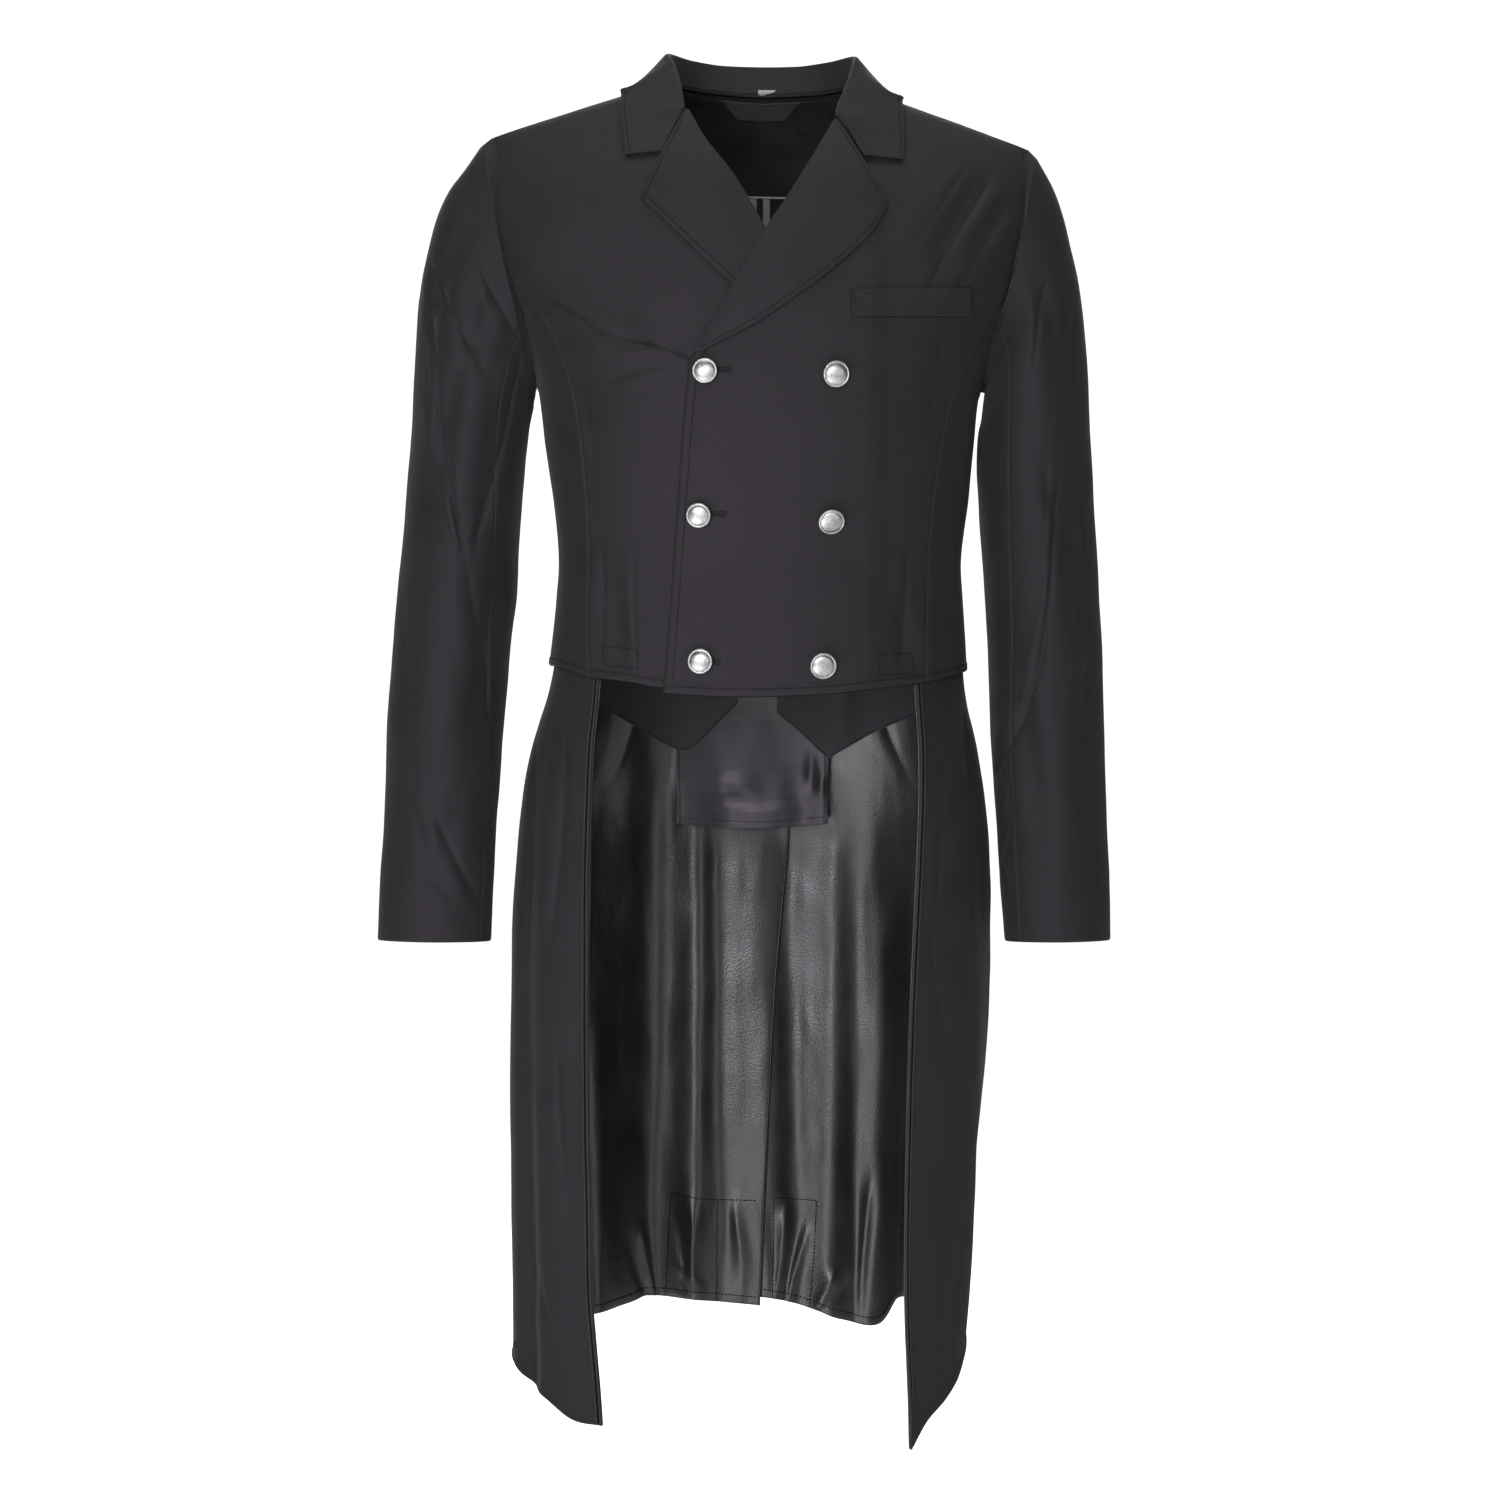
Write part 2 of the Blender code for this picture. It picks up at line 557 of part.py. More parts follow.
def back_places(side):
    seam_rows, arm_rows, neck_cols, shoulder_cols = 12, 7, 4, 6
    sign = 1 if side == "left" else -1
    rows, cols = seam_rows + arm_rows, neck_cols + shoulder_cols
    middle = []
    for i in range(rows + 1):
        fall = 1 - (1 - i / rows) ** 1.15
        middle.append((sign * math.pi, (BACK_HEM + (BACK_NECK - BACK_HEM) * fall) * MM))
    neck_x, neck_z = NECKLINE["left"][-1]
    neck = run([(sign * 0.001, BACK_NECK), (sign * 30, BACK_NECK), (sign * 56, 53.6),
                (sign * neck_x, neck_z)], neck_cols, back=True)
    shoulder = [(math.copysign(math.pi, t) - t, z) for t, z in shoulder_run(side, shoulder_cols)]
    neck[-1] = shoulder[0]
    second = join(side_back_run(side, seam_rows),
                  armhole_run(side, BACK_TURN, 360.0, arm_rows))
    hem = run([(sign * 0.001, BACK_HEM), (sign * 50, -426), (sign * 92, -428)], cols, back=True)
    return coons(hem, join(neck, shoulder), middle, second)


def lapel(side):
    """Turned-back front edge: a half-round roll, then cloth lying on the front."""
    rows, flat = 10, [0.10, 0.28, 0.5, 0.75, 1.0]
    turns = [0, 50, 95, 140, 180]
    middle = []
    for i in range(rows + 1):
        share = i / rows
        roll_x, roll_z = spline(LAPEL_ROLL[side], share)
        edge_x, edge_z = spline(LAPEL_EDGE[side], share)
        place = (turn_at(roll_x, roll_z), roll_z * MM)
        root = body_point(*place, -WALL / 2, side)
        normal = body_normal(*place)
        ahead = spline(LAPEL_ROLL[side], min(share + 0.02, 1))
        behind = spline(LAPEL_ROLL[side], max(share - 0.02, 0))
        along = (body_point(turn_at(*ahead), ahead[1] * MM, 0, side)
                 - body_point(turn_at(*behind), behind[1] * MM, 0, side)).normalized()
        reach = normal.cross(along).normalized()
        toward = body_point(turn_at(edge_x, edge_z), edge_z * MM, 0, side) - root
        if reach.dot(toward) > 0:
            reach = -reach
        radius = ROLL
        line = []
        for turn in turns:
            angle = math.radians(turn)
            line.append(root + reach * (radius * math.sin(angle) + 0.9 * MM)
                        + normal * radius * (1 - math.cos(angle)))
        swell = (0.5 + 2.2 * math.sin(math.pi * share) ** 0.8) * MM
        if side == "right":
            swell *= smooth((share - 0.12) / 0.3)
        for f in flat:
            x = roll_x + (edge_x - roll_x) * f
            z = roll_z + (edge_z - roll_z) * f
            rise = 2 * radius - WALL / 2 + swell * math.sin(math.pi * f ** 0.8)
            line.append(body_point(turn_at(x, z), z * MM, rise, side))
        middle.append(line)

    normals = grid_normals(middle, lambda i, j: Vector((0, -1, 0)))
    for i in range(rows + 1):
        for j in range(len(middle[0])):
            last = normals[i][j - 1] if j else (middle[i][0] - middle[i][4])
            if normals[i][j].dot(last) < 0:
                normals[i][j] = -normals[i][j]
    half = WALL / 2
    outer = [[p + n * half for p, n in zip(a, b)] for a, b in zip(middle, normals)]
    inner = [[p - n * half for p, n in zip(a, b)] for a, b in zip(middle, normals)]
    return shell("lapel_" + side, outer, inner, "cloth")


def form_place(face, x, z, out):
    back = face == "back"
    turn = turn_at(x, z, back)
    return plain_body(turn, z * MM) + body_normal(turn, z * MM) * out


def off_body(point, gap):
    """Moves a point out along the form's normal until it clears the form by a gap."""
    back = point.y > 0
    z = point.z + LEAN * point.x * clamp((point.z + 0.40) / 0.35)
    z = min(z, ridge(point.x))
    turn = turn_at(point.x / MM if abs(point.x) > 1e-4 else 0.1, z / MM, back)
    near = plain_body(turn, z)
    normal = body_normal(turn, z)
    short = gap - (point - near).dot(normal)
    return point + normal * short if short > 0 else point


def collar_section(stand, fold, edge, along, folded):
    """Eleven points from the stand edge over the fold to the outer edge."""
    to_stand = stand - fold
    to_edge = edge - fold
    to_stand -= along * to_stand.dot(along)
    to_edge -= along * to_edge.dot(along)
    top = -(to_stand.normalized() + to_edge.normalized()).normalized()
    inside = (to_stand - top * to_stand.dot(top)).normalized()
    bend = COLLAR_BEND * MM
    centre = fold - top * bend
    arc = []
    for turn in (78, 26, -26, -78):
        angle = math.radians(turn)
        arc.append(centre + (top * math.cos(angle) + inside * math.sin(angle)) * bend)
    line = [stand, stand.lerp(arc[0], 0.5)] + arc
    for f in (0.14, 0.36, 0.6, 0.8, 1.0):
        line.append(arc[-1].lerp(edge, f) + top * (1.5 * MM * math.sin(math.pi * f)))
    start = stand.lerp(fold, 0.3)
    flat = []
    for j in range(len(line)):
        f = j / (len(line) - 1)
        flat.append(start.lerp(edge, 0.15 * f + 0.85 * f * f))
    line = [a.lerp(b, folded) for a, b in zip(flat, line)]
    return line[:2] + [off_body(point, 2.7 * MM) for point in line[2:]]


def collar_grid():
    """Middle surface of the collar, stand edge to outer edge, and its normals."""
    stations = []
    for face, stand, level, fold, edge_face, edge, folded in COLLAR:
        stand = form_place(face, *stand, level * MM)
        edge = form_place(edge_face, *edge, 2.7 * MM)
        stations.append((*stand, *(Vector(fold) * MM), *edge, folded))
    count = 28
    middle = []
    rows = [smooth_rows(stations, i / count) for i in range(count + 1)]
    for i, row in enumerate(rows):
        before, after = rows[max(i - 1, 0)], rows[min(i + 1, count)]
        along = (Vector(after[3:6]) - Vector(before[3:6])).normalized()
        middle.append(collar_section(Vector(row[0:3]), Vector(row[3:6]), Vector(row[6:9]),
                                     along, clamp(row[9])))
    normals = grid_normals(middle, lambda i, j: Vector((0, 0, 1)))
    for i in range(count + 1):
        normals[i][8] = facing_out(normals[i][8], middle[i][8])
        for j in list(range(7, -1, -1)) + [9, 10]:
            last = normals[i][j + 1] if j < 8 else normals[i][j - 1]
            if normals[i][j].dot(last) < 0:
                normals[i][j] = -normals[i][j]
    return middle, normals


def collar():
    middle, normals = collar_grid()
    half = WALL / 2
    outer = [[p + n * half for p, n in zip(a, b)] for a, b in zip(middle, normals)]
    inner = [[p - n * half for p, n in zip(a, b)] for a, b in zip(middle, normals)]
    return shell("collar", outer, inner, "cloth")


def facing_out(normal, point):
    away = point - Vector((0, 0.01, -0.04))
    return -normal if normal.dot(away) < 0 else normal


def smooth_rows(rows, share):
    """Row of a table at a share of its count, smooth between rows."""
    place = share * (len(rows) - 1)
    i = min(int(place), len(rows) - 2)
    t = place - i
    first, second = rows[i], rows[i + 1]
    before = rows[max(i - 1, 0)]
    after = rows[min(i + 2, len(rows) - 1)]
    out = []
    for p, a, b, q in zip(before, first, second, after):
        out.append(0.5 * (2 * a + (b - p) * t + (2 * p - 5 * a + 4 * b - q) * t**2
                          + (3 * a - p - 3 * b + q) * t**3))
    return out


def sleeve_point(side, ring, turn):
    """Point of a sleeve; ring 0 is the armhole, turn 0 the outer line, 90 the front."""
    rows = SLEEVES[side]
    angle = math.radians(turn)
    theta, z = armhole(side, turn)
    start = plain_body(theta, z) + body_normal(theta, z) * 0.5 * MM
    if ring <= 0:
        return start
    share = (ring - 1) / (len(rows) - 1)
    if ring >= 1:
        out_x, out_z, in_x, in_z, depth, half = smooth_rows(rows, share)
    else:
        out_x, out_z, in_x, in_z, depth, half = rows[0]
    top = Vector((out_x, depth, out_z)) * MM
    under = Vector((in_x, depth, in_z)) * MM
    centre = (top + under) / 2
    point = centre + (top - under) / 2 * math.cos(angle)
    point.y -= half * MM * math.sin(angle)
    lift = math.sin(angle) ** 2 * (1 - abs(math.cos(angle))) * 3 * MM
    point.y += lift * (1 if math.sin(angle) < 0 else -1)
    if ring < 1:
        return start.lerp(point, ring)
    blend = clamp((4 - ring) / 4) * 0.5
    point.y = point.y * (1 - blend) + start.y * 1.12 * blend
    return point


def sleeve_fold(side, point, turn):
    depth = 0.0
    for height, middle, length, width, amount in SLEEVE_FOLDS[side]:
        away = (turn - middle + 180) % 360 - 180
        along = (point.z / MM - height) / length
        drift = away - along * 9
        depth += amount * MM * math.exp(-along**4 * 1.5 - (drift / width) ** 2)
    return depth


def sleeve_seam(side, ring, share):
    """Turn round the sleeve at a share between its back seam and its front seam."""
    armhole_turn, cuff_turn = SLEEVE_FRONT_SEAM[side]
    count = len(SLEEVES[side])
    front_seam = armhole_turn + (cuff_turn - armhole_turn) * smooth((ring / count - 0.35) / 0.6)
    if share <= 1:
        start = SLEEVE_BACK_SEAM - 360
        return start + (front_seam - start) * share
    return front_seam + (SLEEVE_BACK_SEAM - front_seam) * (share - 1)


def sleeve_grid(side, first, last, cols, rings):
    """Rows round a sleeve between two shares: 0 back seam, 1 front seam, 2 back seam."""
    grid = []
    for i in range(rings + 1):
        ring = i * len(SLEEVES[side]) / rings
        centre = (sleeve_point(side, ring, 0) + sleeve_point(side, ring, 180)) / 2
        line = []
        for j in range(cols + 1):
            turn = sleeve_seam(side, ring, first + (last - first) * j / cols)
            point = sleeve_point(side, ring, turn)
            amount = sleeve_fold(side, point, turn) * clamp((ring - 1) / 2)
            line.append(point + (centre - point).normalized() * amount)
        grid.append(line)
    return grid


def sleeve_panel(name, side, first, cols):
    """Topsleeve from share 0, undersleeve from share 1."""
    rings, last = 18, first + 1
    wide = sleeve_grid(side, first, last, cols, rings)
    before = sleeve_grid(side, first - 1 / cols, first, 1, rings)
    after = sleeve_grid(side, last, last + 1 / cols, 1, rings)
    wide = [[a[0]] + row + [b[-1]] for a, row, b in zip(before, wide, after)]
    round_it = sleeve_grid(side, 0, 2, 24, rings)
    centres = [sum(row[:-1], Vector()) / (len(row) - 1) for row in round_it]
    normals = grid_normals(wide, lambda i, j: wide[i][j] - centres[i])
    outer = drawn_back([row[1:-1] for row in wide])
    inner = []
    for row, line in zip(outer, normals):
        inner.append([p - n * WALL for p, n in zip(row, line[1:-1])])
    return shell(name, outer, inner, "cloth")


def tail_depth(side, theta, z):
    """Inward distance of a tail from the coat form, folds and overlap included."""
    depth = TUCK * (1 - smooth((-0.452 - z) / 0.05)) + 0.3 * MM
    x = plain_body(theta, z).x
    if side == "right":
        if math.cos(theta) < 0:
            depth += 4.0 * MM * smooth((x + 0.078) / 0.026)
    flat = smooth((abs(x) - 0.05) / 0.03) if math.cos(theta) < 0 else 1.0
    turn = math.degrees(theta)
    for middle, width, amount, top in TAIL_FOLDS[side]:
        grow = clamp((top - z / MM) / (top + 1000)) ** 0.8
        depth += amount * MM * grow * flat * math.exp(-((turn - middle) / width) ** 2)
    return depth


def tail_places(side):
    rows, cols = 14, 16
    sign = 1 if side == "left" else -1
    edge = run(TAIL_EDGE[side], rows)
    hem = []
    for j in range(cols + 1):
        x, z, behind = spline(TAIL_HEM[side], j / cols)
        hem.append((turn_at(x, z, behind > 0.5), z * MM))
    vent = run(TAIL_VENT[side], rows, back=True)
    vent = [(t if t * sign > 0 else t + sign * 2 * math.pi, z) for t, z in vent]
    hem = [(t if t * sign > 0 else t + sign * 2 * math.pi, z) for t, z in hem]
    hem[-1] = vent[-1]
    hem[0] = edge[-1]
    top = []
    for j in range(cols + 1):
        share = j / cols
        theta = edge[0][0] + (vent[0][0] - edge[0][0]) * share
        rise = edge[0][1] + (vent[0][1] - edge[0][1]) * smooth(share / 0.45)
        top.append((theta, rise))
    return coons(hem, top, edge[::-1], vent[::-1])


def tail_shell(name, side, start, wall, kind):
    outer, inner = [], []
    for row in tail_places(side):
        far, near = [], []
        for theta, z in row:
            depth = tail_depth(side, theta, z) + start
            normal = body_normal(theta, z)
            point = plain_body(theta, z)
            far.append(point - normal * depth)
            near.append(point - normal * (depth + wall))
        outer.append(far)
        inner.append(near)
    return shell(name, drawn_back(outer), drawn_back(inner), kind)


def inside_depth(x, base, over):
    """Depth inside the back: deeper over the flap and the lapped tail."""
    left, right, _, _ = FLAP
    near = min(smooth((x - left + 36) / 24), smooth((right + 36 - x) / 24))
    return (base + (over - base) * near) * MM


def facing(side):
    cols, rows = 10, 4
    outer, inner = [], []
    for i in range(rows + 1):
        far, near = [], []
        for j in range(cols + 1):
            x, foot = spline(FACING_FOOT[side], j / cols)
            z = foot + (FACING_TOP - foot) * i / rows
            depth = inside_depth(x, 8.2, 14.2)
            turn = turn_at(x, z, True)
            normal = body_normal(turn, z * MM)
            point = plain_body(turn, z * MM)
            far.append(point - normal * depth)
            near.append(point - normal * (depth + 1.2 * MM))
        outer.append(far)
        inner.append(near)
    return shell("waist_facing_" + side, outer, inner, "cloth")


def flap():
    left, right, top, foot = FLAP
    cols, rows = 10, 6
    outer, inner = [], []
    for i in range(rows + 1):
        far, near = [], []
        for j in range(cols + 1):
            x = left + (right - left) * j / cols
            bow = 5 * math.sin(math.pi * j / cols)
            z = foot + (top - foot) * i / rows - bow * (1 - i / rows)
            ripple = 1.4 * math.sin(j * 1.35 + 0.6) * (1 - i / rows)
            below = smooth((-514 - z) / 30)
            depth = (12.2 + (2.4 + ripple * 0.5) * below) * MM
            turn = turn_at(x if abs(x) > 0.01 else 0.01, z, True)
            normal = body_normal(turn, z * MM)
            point = plain_body(turn, z * MM)
            far.append(point - normal * depth)
            near.append(point - normal * (depth + SKIN))
        outer.append(far)
        inner.append(near)
    return shell("inner_flap", outer, inner, "satin")


def lining_grids():
    """Outer and inner points of the skin inside both backs, on their rows and columns."""
    outer, inner = [], []
    for right, left in zip(back_places("right")[1:], back_places("left")[1:]):
        row = right[-3:0:-1] + left[:-2]
        far = [body_point(t, z, -WALL - 0.5 * MM) for t, z in row]
        outer.append(far)
        inner.append([p - body_normal(t, z) * SKIN for (t, z), p in zip(row, far)])
    for rows in (outer, inner):
        rows[-1] = [a.lerp(b, 0.9) for a, b in zip(rows[-2], rows[-1])]
    return outer, inner


def back_lining():
    outer, inner = lining_grids()
    return shell("back_lining", outer, inner, "lining")


def point_on(rows, x, z):
    """Point at a distance across and a height on the facets between rows of points."""
    lines = []
    for row in rows:
        for a, b in zip(row, row[1:]):
            if a.x <= x <= b.x:
                lines.append(a.lerp(b, (x - a.x) / (b.x - a.x)))
                break
    for low, high in zip(lines, lines[1:]):
        if z <= high.z:
            break
    return low.lerp(high, (z - low.z) / (high.z - low.z))


def label():
    """Blank label on the back lining below the neck seam."""
    middle, top_half, foot_half, top, foot = LABEL
    cols, rows = 6, 2
    under = lining_grids()[1]
    outer, inner = [], []
    for i in range(rows + 1):
        far, near = [], []
        for j in range(cols + 1):
            z = foot + (top - foot) * i / rows
            half = foot_half + (top_half - foot_half) * i / rows
            x = middle + half * (2 * j / cols - 1)
            normal = body_normal(turn_at(x if abs(x) > 0.01 else 0.01, z, True), z * MM)
            point = point_on(under, x * MM, (z - LEAN * x) * MM)
            far.append(point - normal * 0.35 * MM)
            near.append(point - normal * (0.35 * MM + SKIN))
        outer.append(far)
        inner.append(near)
    return shell("neck_label", outer, inner, "satin")


def size_tab():
    """Blank tab that stands up from the neck seam on the inside of the collar stand."""
    left, right, low, high = SIZE_TAB
    middle, _ = collar_grid()
    columns = [list(line) for line in zip(*middle)]
    outer, inner = [], []
    for i in range(2):
        far, near = [], []
        for j in range(3):
            x = left + (right - left) * j / 2
            z = low + (high - low) * i
            point = point_on(columns[:3], x * MM, (z - LEAN * x) * MM)
            far.append(point + Vector((0, -WALL / 2 - 0.4 * MM, 0)))
            near.append(point + Vector((0, -WALL / 2 - 0.4 * MM - SKIN, 0)))
        outer.append(far)
        inner.append(near)
    return shell("size_tab", outer, inner, "tape")


def welt():
    cols, rows = 8, 2
    low = [spline(WELT[2:4], j / cols) for j in range(cols + 1)]
    high = [spline(WELT[0:2], j / cols) for j in range(cols + 1)]
    outer, inner = [], []
    for i in range(rows + 1):
        far, near = [], []
        for a, b in zip(low, high):
            x, z = a.lerp(b, i / rows)
            turn = turn_at(x, z)
            far.append(body_point(turn, z * MM, 2.3 * MM, "left"))
            near.append(body_point(turn, z * MM, 0.6 * MM, "left"))
        outer.append(far)
        inner.append(near)
    return shell("chest_welt", outer, inner, "cloth")


def button(index, x, z):
    sides = 14
    turn = turn_at(x, z)
    base = body_point(turn, z * MM, 0, "left")
    axis = body_normal(turn, z * MM)
    right = axis.cross(Vector((0, 0, 1))).normalized()
    up = right.cross(axis)
    points = [base + axis * BUTTON[0][1] * MM]
    for radius, height in BUTTON[1:-1]:
        for k in range(sides):
            angle = 2 * math.pi * k / sides
            spoke = right * math.cos(angle) + up * math.sin(angle)
            points.append(base + axis * height * MM + spoke * radius * MM)
    points.append(base + axis * BUTTON[-1][1] * MM)
    faces = []
    rings = len(BUTTON) - 2
    for k in range(sides):
        n = (k + 1) % sides
        faces.append((0, 1 + n, 1 + k))
        for r in range(rings - 1):
            a, b = 1 + r * sides, 1 + (r + 1) * sides
            faces.append((a + k, a + n, b + n, b + k))
        a = 1 + (rings - 1) * sides
        faces.append((a + k, a + n, len(points) - 1))
    return solid("button_%d" % index, points, faces, "metal")


def main():
    for thing in list(bpy.data.objects):
        bpy.data.objects.remove(thing)
    for side in ("right", "left"):
        front(side)
        side_body(side)
        body_shell("back_" + side, back_places(side), "back")
        lapel(side)
        sleeve_panel("topsleeve_" + side, side, 0, 14)
        sleeve_panel("undersleeve_" + side, side, 1, 7)
        tail_shell("tail_" + side, side, 0.0, WALL, "cloth")
        tail_shell("tail_lining_" + side, side, WALL + 0.3 * MM, SKIN, "lining")
        facing(side)
    collar()
    flap()
    back_lining()
    label()
    size_tab()
    welt()
    for index, (x, z) in enumerate(BUTTONS, 1):
        button(index, x, z)


main()
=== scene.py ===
"""Looks of a double-breasted dressage tailcoat, hollow and standing as if worn.

Front faces -Y, +X is the wearer's left, z = 0 is the shoulder tips. Tables are in
millimetres. The cloth follows the same form as the solids, with finer lines, turned
edges, creases, sewing and linings.
"""
import math

import bmesh
import bpy
import numpy as np
from mathutils import Matrix, Vector, noise


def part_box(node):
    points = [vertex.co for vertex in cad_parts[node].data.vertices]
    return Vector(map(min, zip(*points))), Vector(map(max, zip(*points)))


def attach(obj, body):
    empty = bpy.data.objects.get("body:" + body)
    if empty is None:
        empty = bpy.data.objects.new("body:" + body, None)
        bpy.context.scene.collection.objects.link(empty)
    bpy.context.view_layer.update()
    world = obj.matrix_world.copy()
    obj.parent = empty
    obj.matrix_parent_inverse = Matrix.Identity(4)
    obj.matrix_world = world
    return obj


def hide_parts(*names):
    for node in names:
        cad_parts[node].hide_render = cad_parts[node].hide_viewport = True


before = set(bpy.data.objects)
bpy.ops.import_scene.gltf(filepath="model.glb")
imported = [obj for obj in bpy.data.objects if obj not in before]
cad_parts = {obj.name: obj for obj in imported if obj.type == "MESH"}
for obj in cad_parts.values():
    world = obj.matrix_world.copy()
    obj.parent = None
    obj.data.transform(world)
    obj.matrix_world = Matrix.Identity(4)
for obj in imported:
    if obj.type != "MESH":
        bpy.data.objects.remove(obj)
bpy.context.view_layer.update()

MM = 0.001
WALL = 1.8 * MM            # main cloth with its lining
SKIN = 1.0 * MM            # lining skins, label, flap
LAP = 2.6 * MM             # how far the overlapping front stands out
TUCK = 3.7 * MM            # how far the tails sit inside the body hem
LINING_GAP = 0.35 * MM     # air between a tail's cloth and its lining
SIGN = {"left": 1, "right": -1}   # side of the coat along X
ROLL = 1.6 * MM            # radius of the turned lapel edge
ROLL_OUT = 0.9 * MM        # how far that edge stands out over the front
# Overlap of the fronts: where it ends across and its run-out, its height and run-in
LAP_END = (0.108, 0.022)
LAP_TOP = (-0.052, 0.03)
# Swell of the overlapping front over the lapel below it: x, z, size, height
LAPEL_BELOW = (-0.004, -0.112, 0.05, 4.2 * MM)

# Coat form: height, half width right, half width left, depth front, depth back, roundness
FORM = [
    (60, 222, 222, 70, 88, 2.40),
    (5, 224, 224, 84, 100, 2.40),
    (-40, 234, 232, 96, 112, 2.45),
    (-80, 234, 230, 104, 120, 2.50),
    (-120, 219, 216, 110, 125, 2.50),
    (-150, 204, 202, 114, 126, 2.45),
    (-200, 187, 185, 118, 122, 2.40),
    (-250, 180, 179, 118, 113, 2.35),
    (-300, 173, 174, 113, 101, 2.30),
    (-345, 169, 169, 108, 94, 2.30),
    (-380, 171, 170, 108, 96, 2.30),
    (-410, 174, 172, 109, 102, 2.30),
    (-440, 178, 174, 110, 108, 2.30),
    (-480, 187, 178, 111, 118, 2.30),
    (-530, 198, 186, 112, 129, 2.30),
    (-580, 204, 192, 112, 135, 2.30),
    (-640, 208, 196, 112, 137, 2.30),
    (-720, 210, 198, 111, 136, 2.30),
    (-820, 210, 196, 110, 134, 2.30),
    (-920, 209, 192, 109, 132, 2.30),
    (-1000, 208, 186, 108, 131, 2.30),
    (-1090, 208, 180, 108, 130, 2.30),
]
SHOULDER_TIP = (222, 6)    # distance from the middle, height
SHOULDER_SLOPE = 0.34
SHOULDER_END = 224
CROWN_FRONT = 110          # height over which the shoulder rounds off, front and back
CROWN_BACK = 80
LEAN = 0.022               # the wearer's right shoulder stands a little higher
LEAN_FOOT = 0.40           # depth at which that ends, in metres
LEAN_RUN = 0.35            # height over which it grows, in metres

# Armhole: middle height, half height, reach round the form in degrees
ARMHOLE_MID = -97.5
ARMHOLE_HALF = 103.5
ARMHOLE_REACH = {"right": 25.5, "left": 22.0, "back": 25.0}
PRINCESS_TURN = {"right": 94.0, "left": 99.0}   # where the front seams meet the armhole
BACK_TURN = 255.0                               # where the side-back seams meet it

# Seam and edge lines on the fronts: distance across, height
PRINCESS = {
    "right": [(-140.6, -444.5), (-142.6, -390.5), (-141.1, -348), (-143.2, -297.7),
              (-146.3, -260.6), (-150.4, -227.4), (-157, -198), (-165.4, -173.5),
              (-177.9, -148), (-193.1, -127.2)],
    "left": [(136.1, -448.2), (137.1, -390.5), (138, -347.2), (141.2, -304.3),
             (149.3, -248), (156.5, -216), (165, -191.4), (180.6, -159.6),
             (192, -138)],
}
SIDE_BACK = [(92, -428), (88, -390), (86, -345), (92, -290), (106, -235), (130, -185),
             (168, -148)]
OPENING = {
    "right": [(78, -457), (75, -330), (66, -194)],
    "left": [(-78.4, -457.6), (-73.6, -398.1), (-68.7, -333.2), (-62.8, -252.9),
             (-57.1, -188.2)],
}
ROLL_LINE = {
    "right": [(66, -194), (34.5, -137.9), (4.6, -86), (-22.6, -39), (-47.2, -5.8),
              (-62, 21.5)],
    "left": [(-57.1, -188.2), (-37.4, -160.6), (-18.8, -127.5), (4, -87.4), (26, -51.7),
             (46.5, -16.9), (64.4, 15.8)],
}
NECKLINE = {"right": [(-62, 21.5), (-73, 38.5), (-80, 54.3)],
            "left": [(64.4, 15.8), (74, 36.5), (80, 54.3)]}
FRONT_HEM = {
    "right": [(78, -457), (-20, -456), (-80.1, -453), (-105, -448.5), (-131.9, -445),
              (-140.6, -444.5)],
    "left": [(-78.4, -457.6), (-28.7, -460.5), (13.5, -460.1), (56.7, -458),
             (106, -452), (136.1, -448.2)],
}
SIDE_HEM = {"right": [(-140.6, -444.5), (-153.7, -439.6), (-173.3, -433.2)],
            "left": [(136.1, -448.2), (148.1, -445.5), (167.8, -439.2)]}
BACK_NECK = 53.5
BACK_HEM = -425
BACK_NECK_LINE = [(0.001, BACK_NECK), (30, BACK_NECK), (56, 53.6), (80, 54.3)]
BACK_HEM_LINE = [(0.001, BACK_HEM), (50, -426), (92, -428)]
BACK_CROWDING = 1.15       # how far the back's lines crowd towards the neck

# Lapels: foot and run of the turned edge, and the outer edge from foot to tip
LAPEL_ROLL = {
    "right": [(11, -98), (4.6, -86), (-22.6, -39), (-47.2, -5.8), (-62, 21.5)],
    "left": [(-52.2, -182.6), (-37.4, -160.6), (-18.8, -127.5), (4, -87.4), (26, -51.7),
             (46.5, -16.9), (64.4, 15.8)],
}
LAPEL_EDGE = {
    "right": [(-13, -134.5), (-24.7, -124.1), (-49.1, -101.3), (-73.6, -78),
              (-98.2, -54.5)],
    "left": [(-45.6, -181), (-36.8, -175.9), (-8.4, -161.6), (24.1, -139.7),
             (56.7, -114.2), (89.4, -82.4), (105, -56.1)],
}

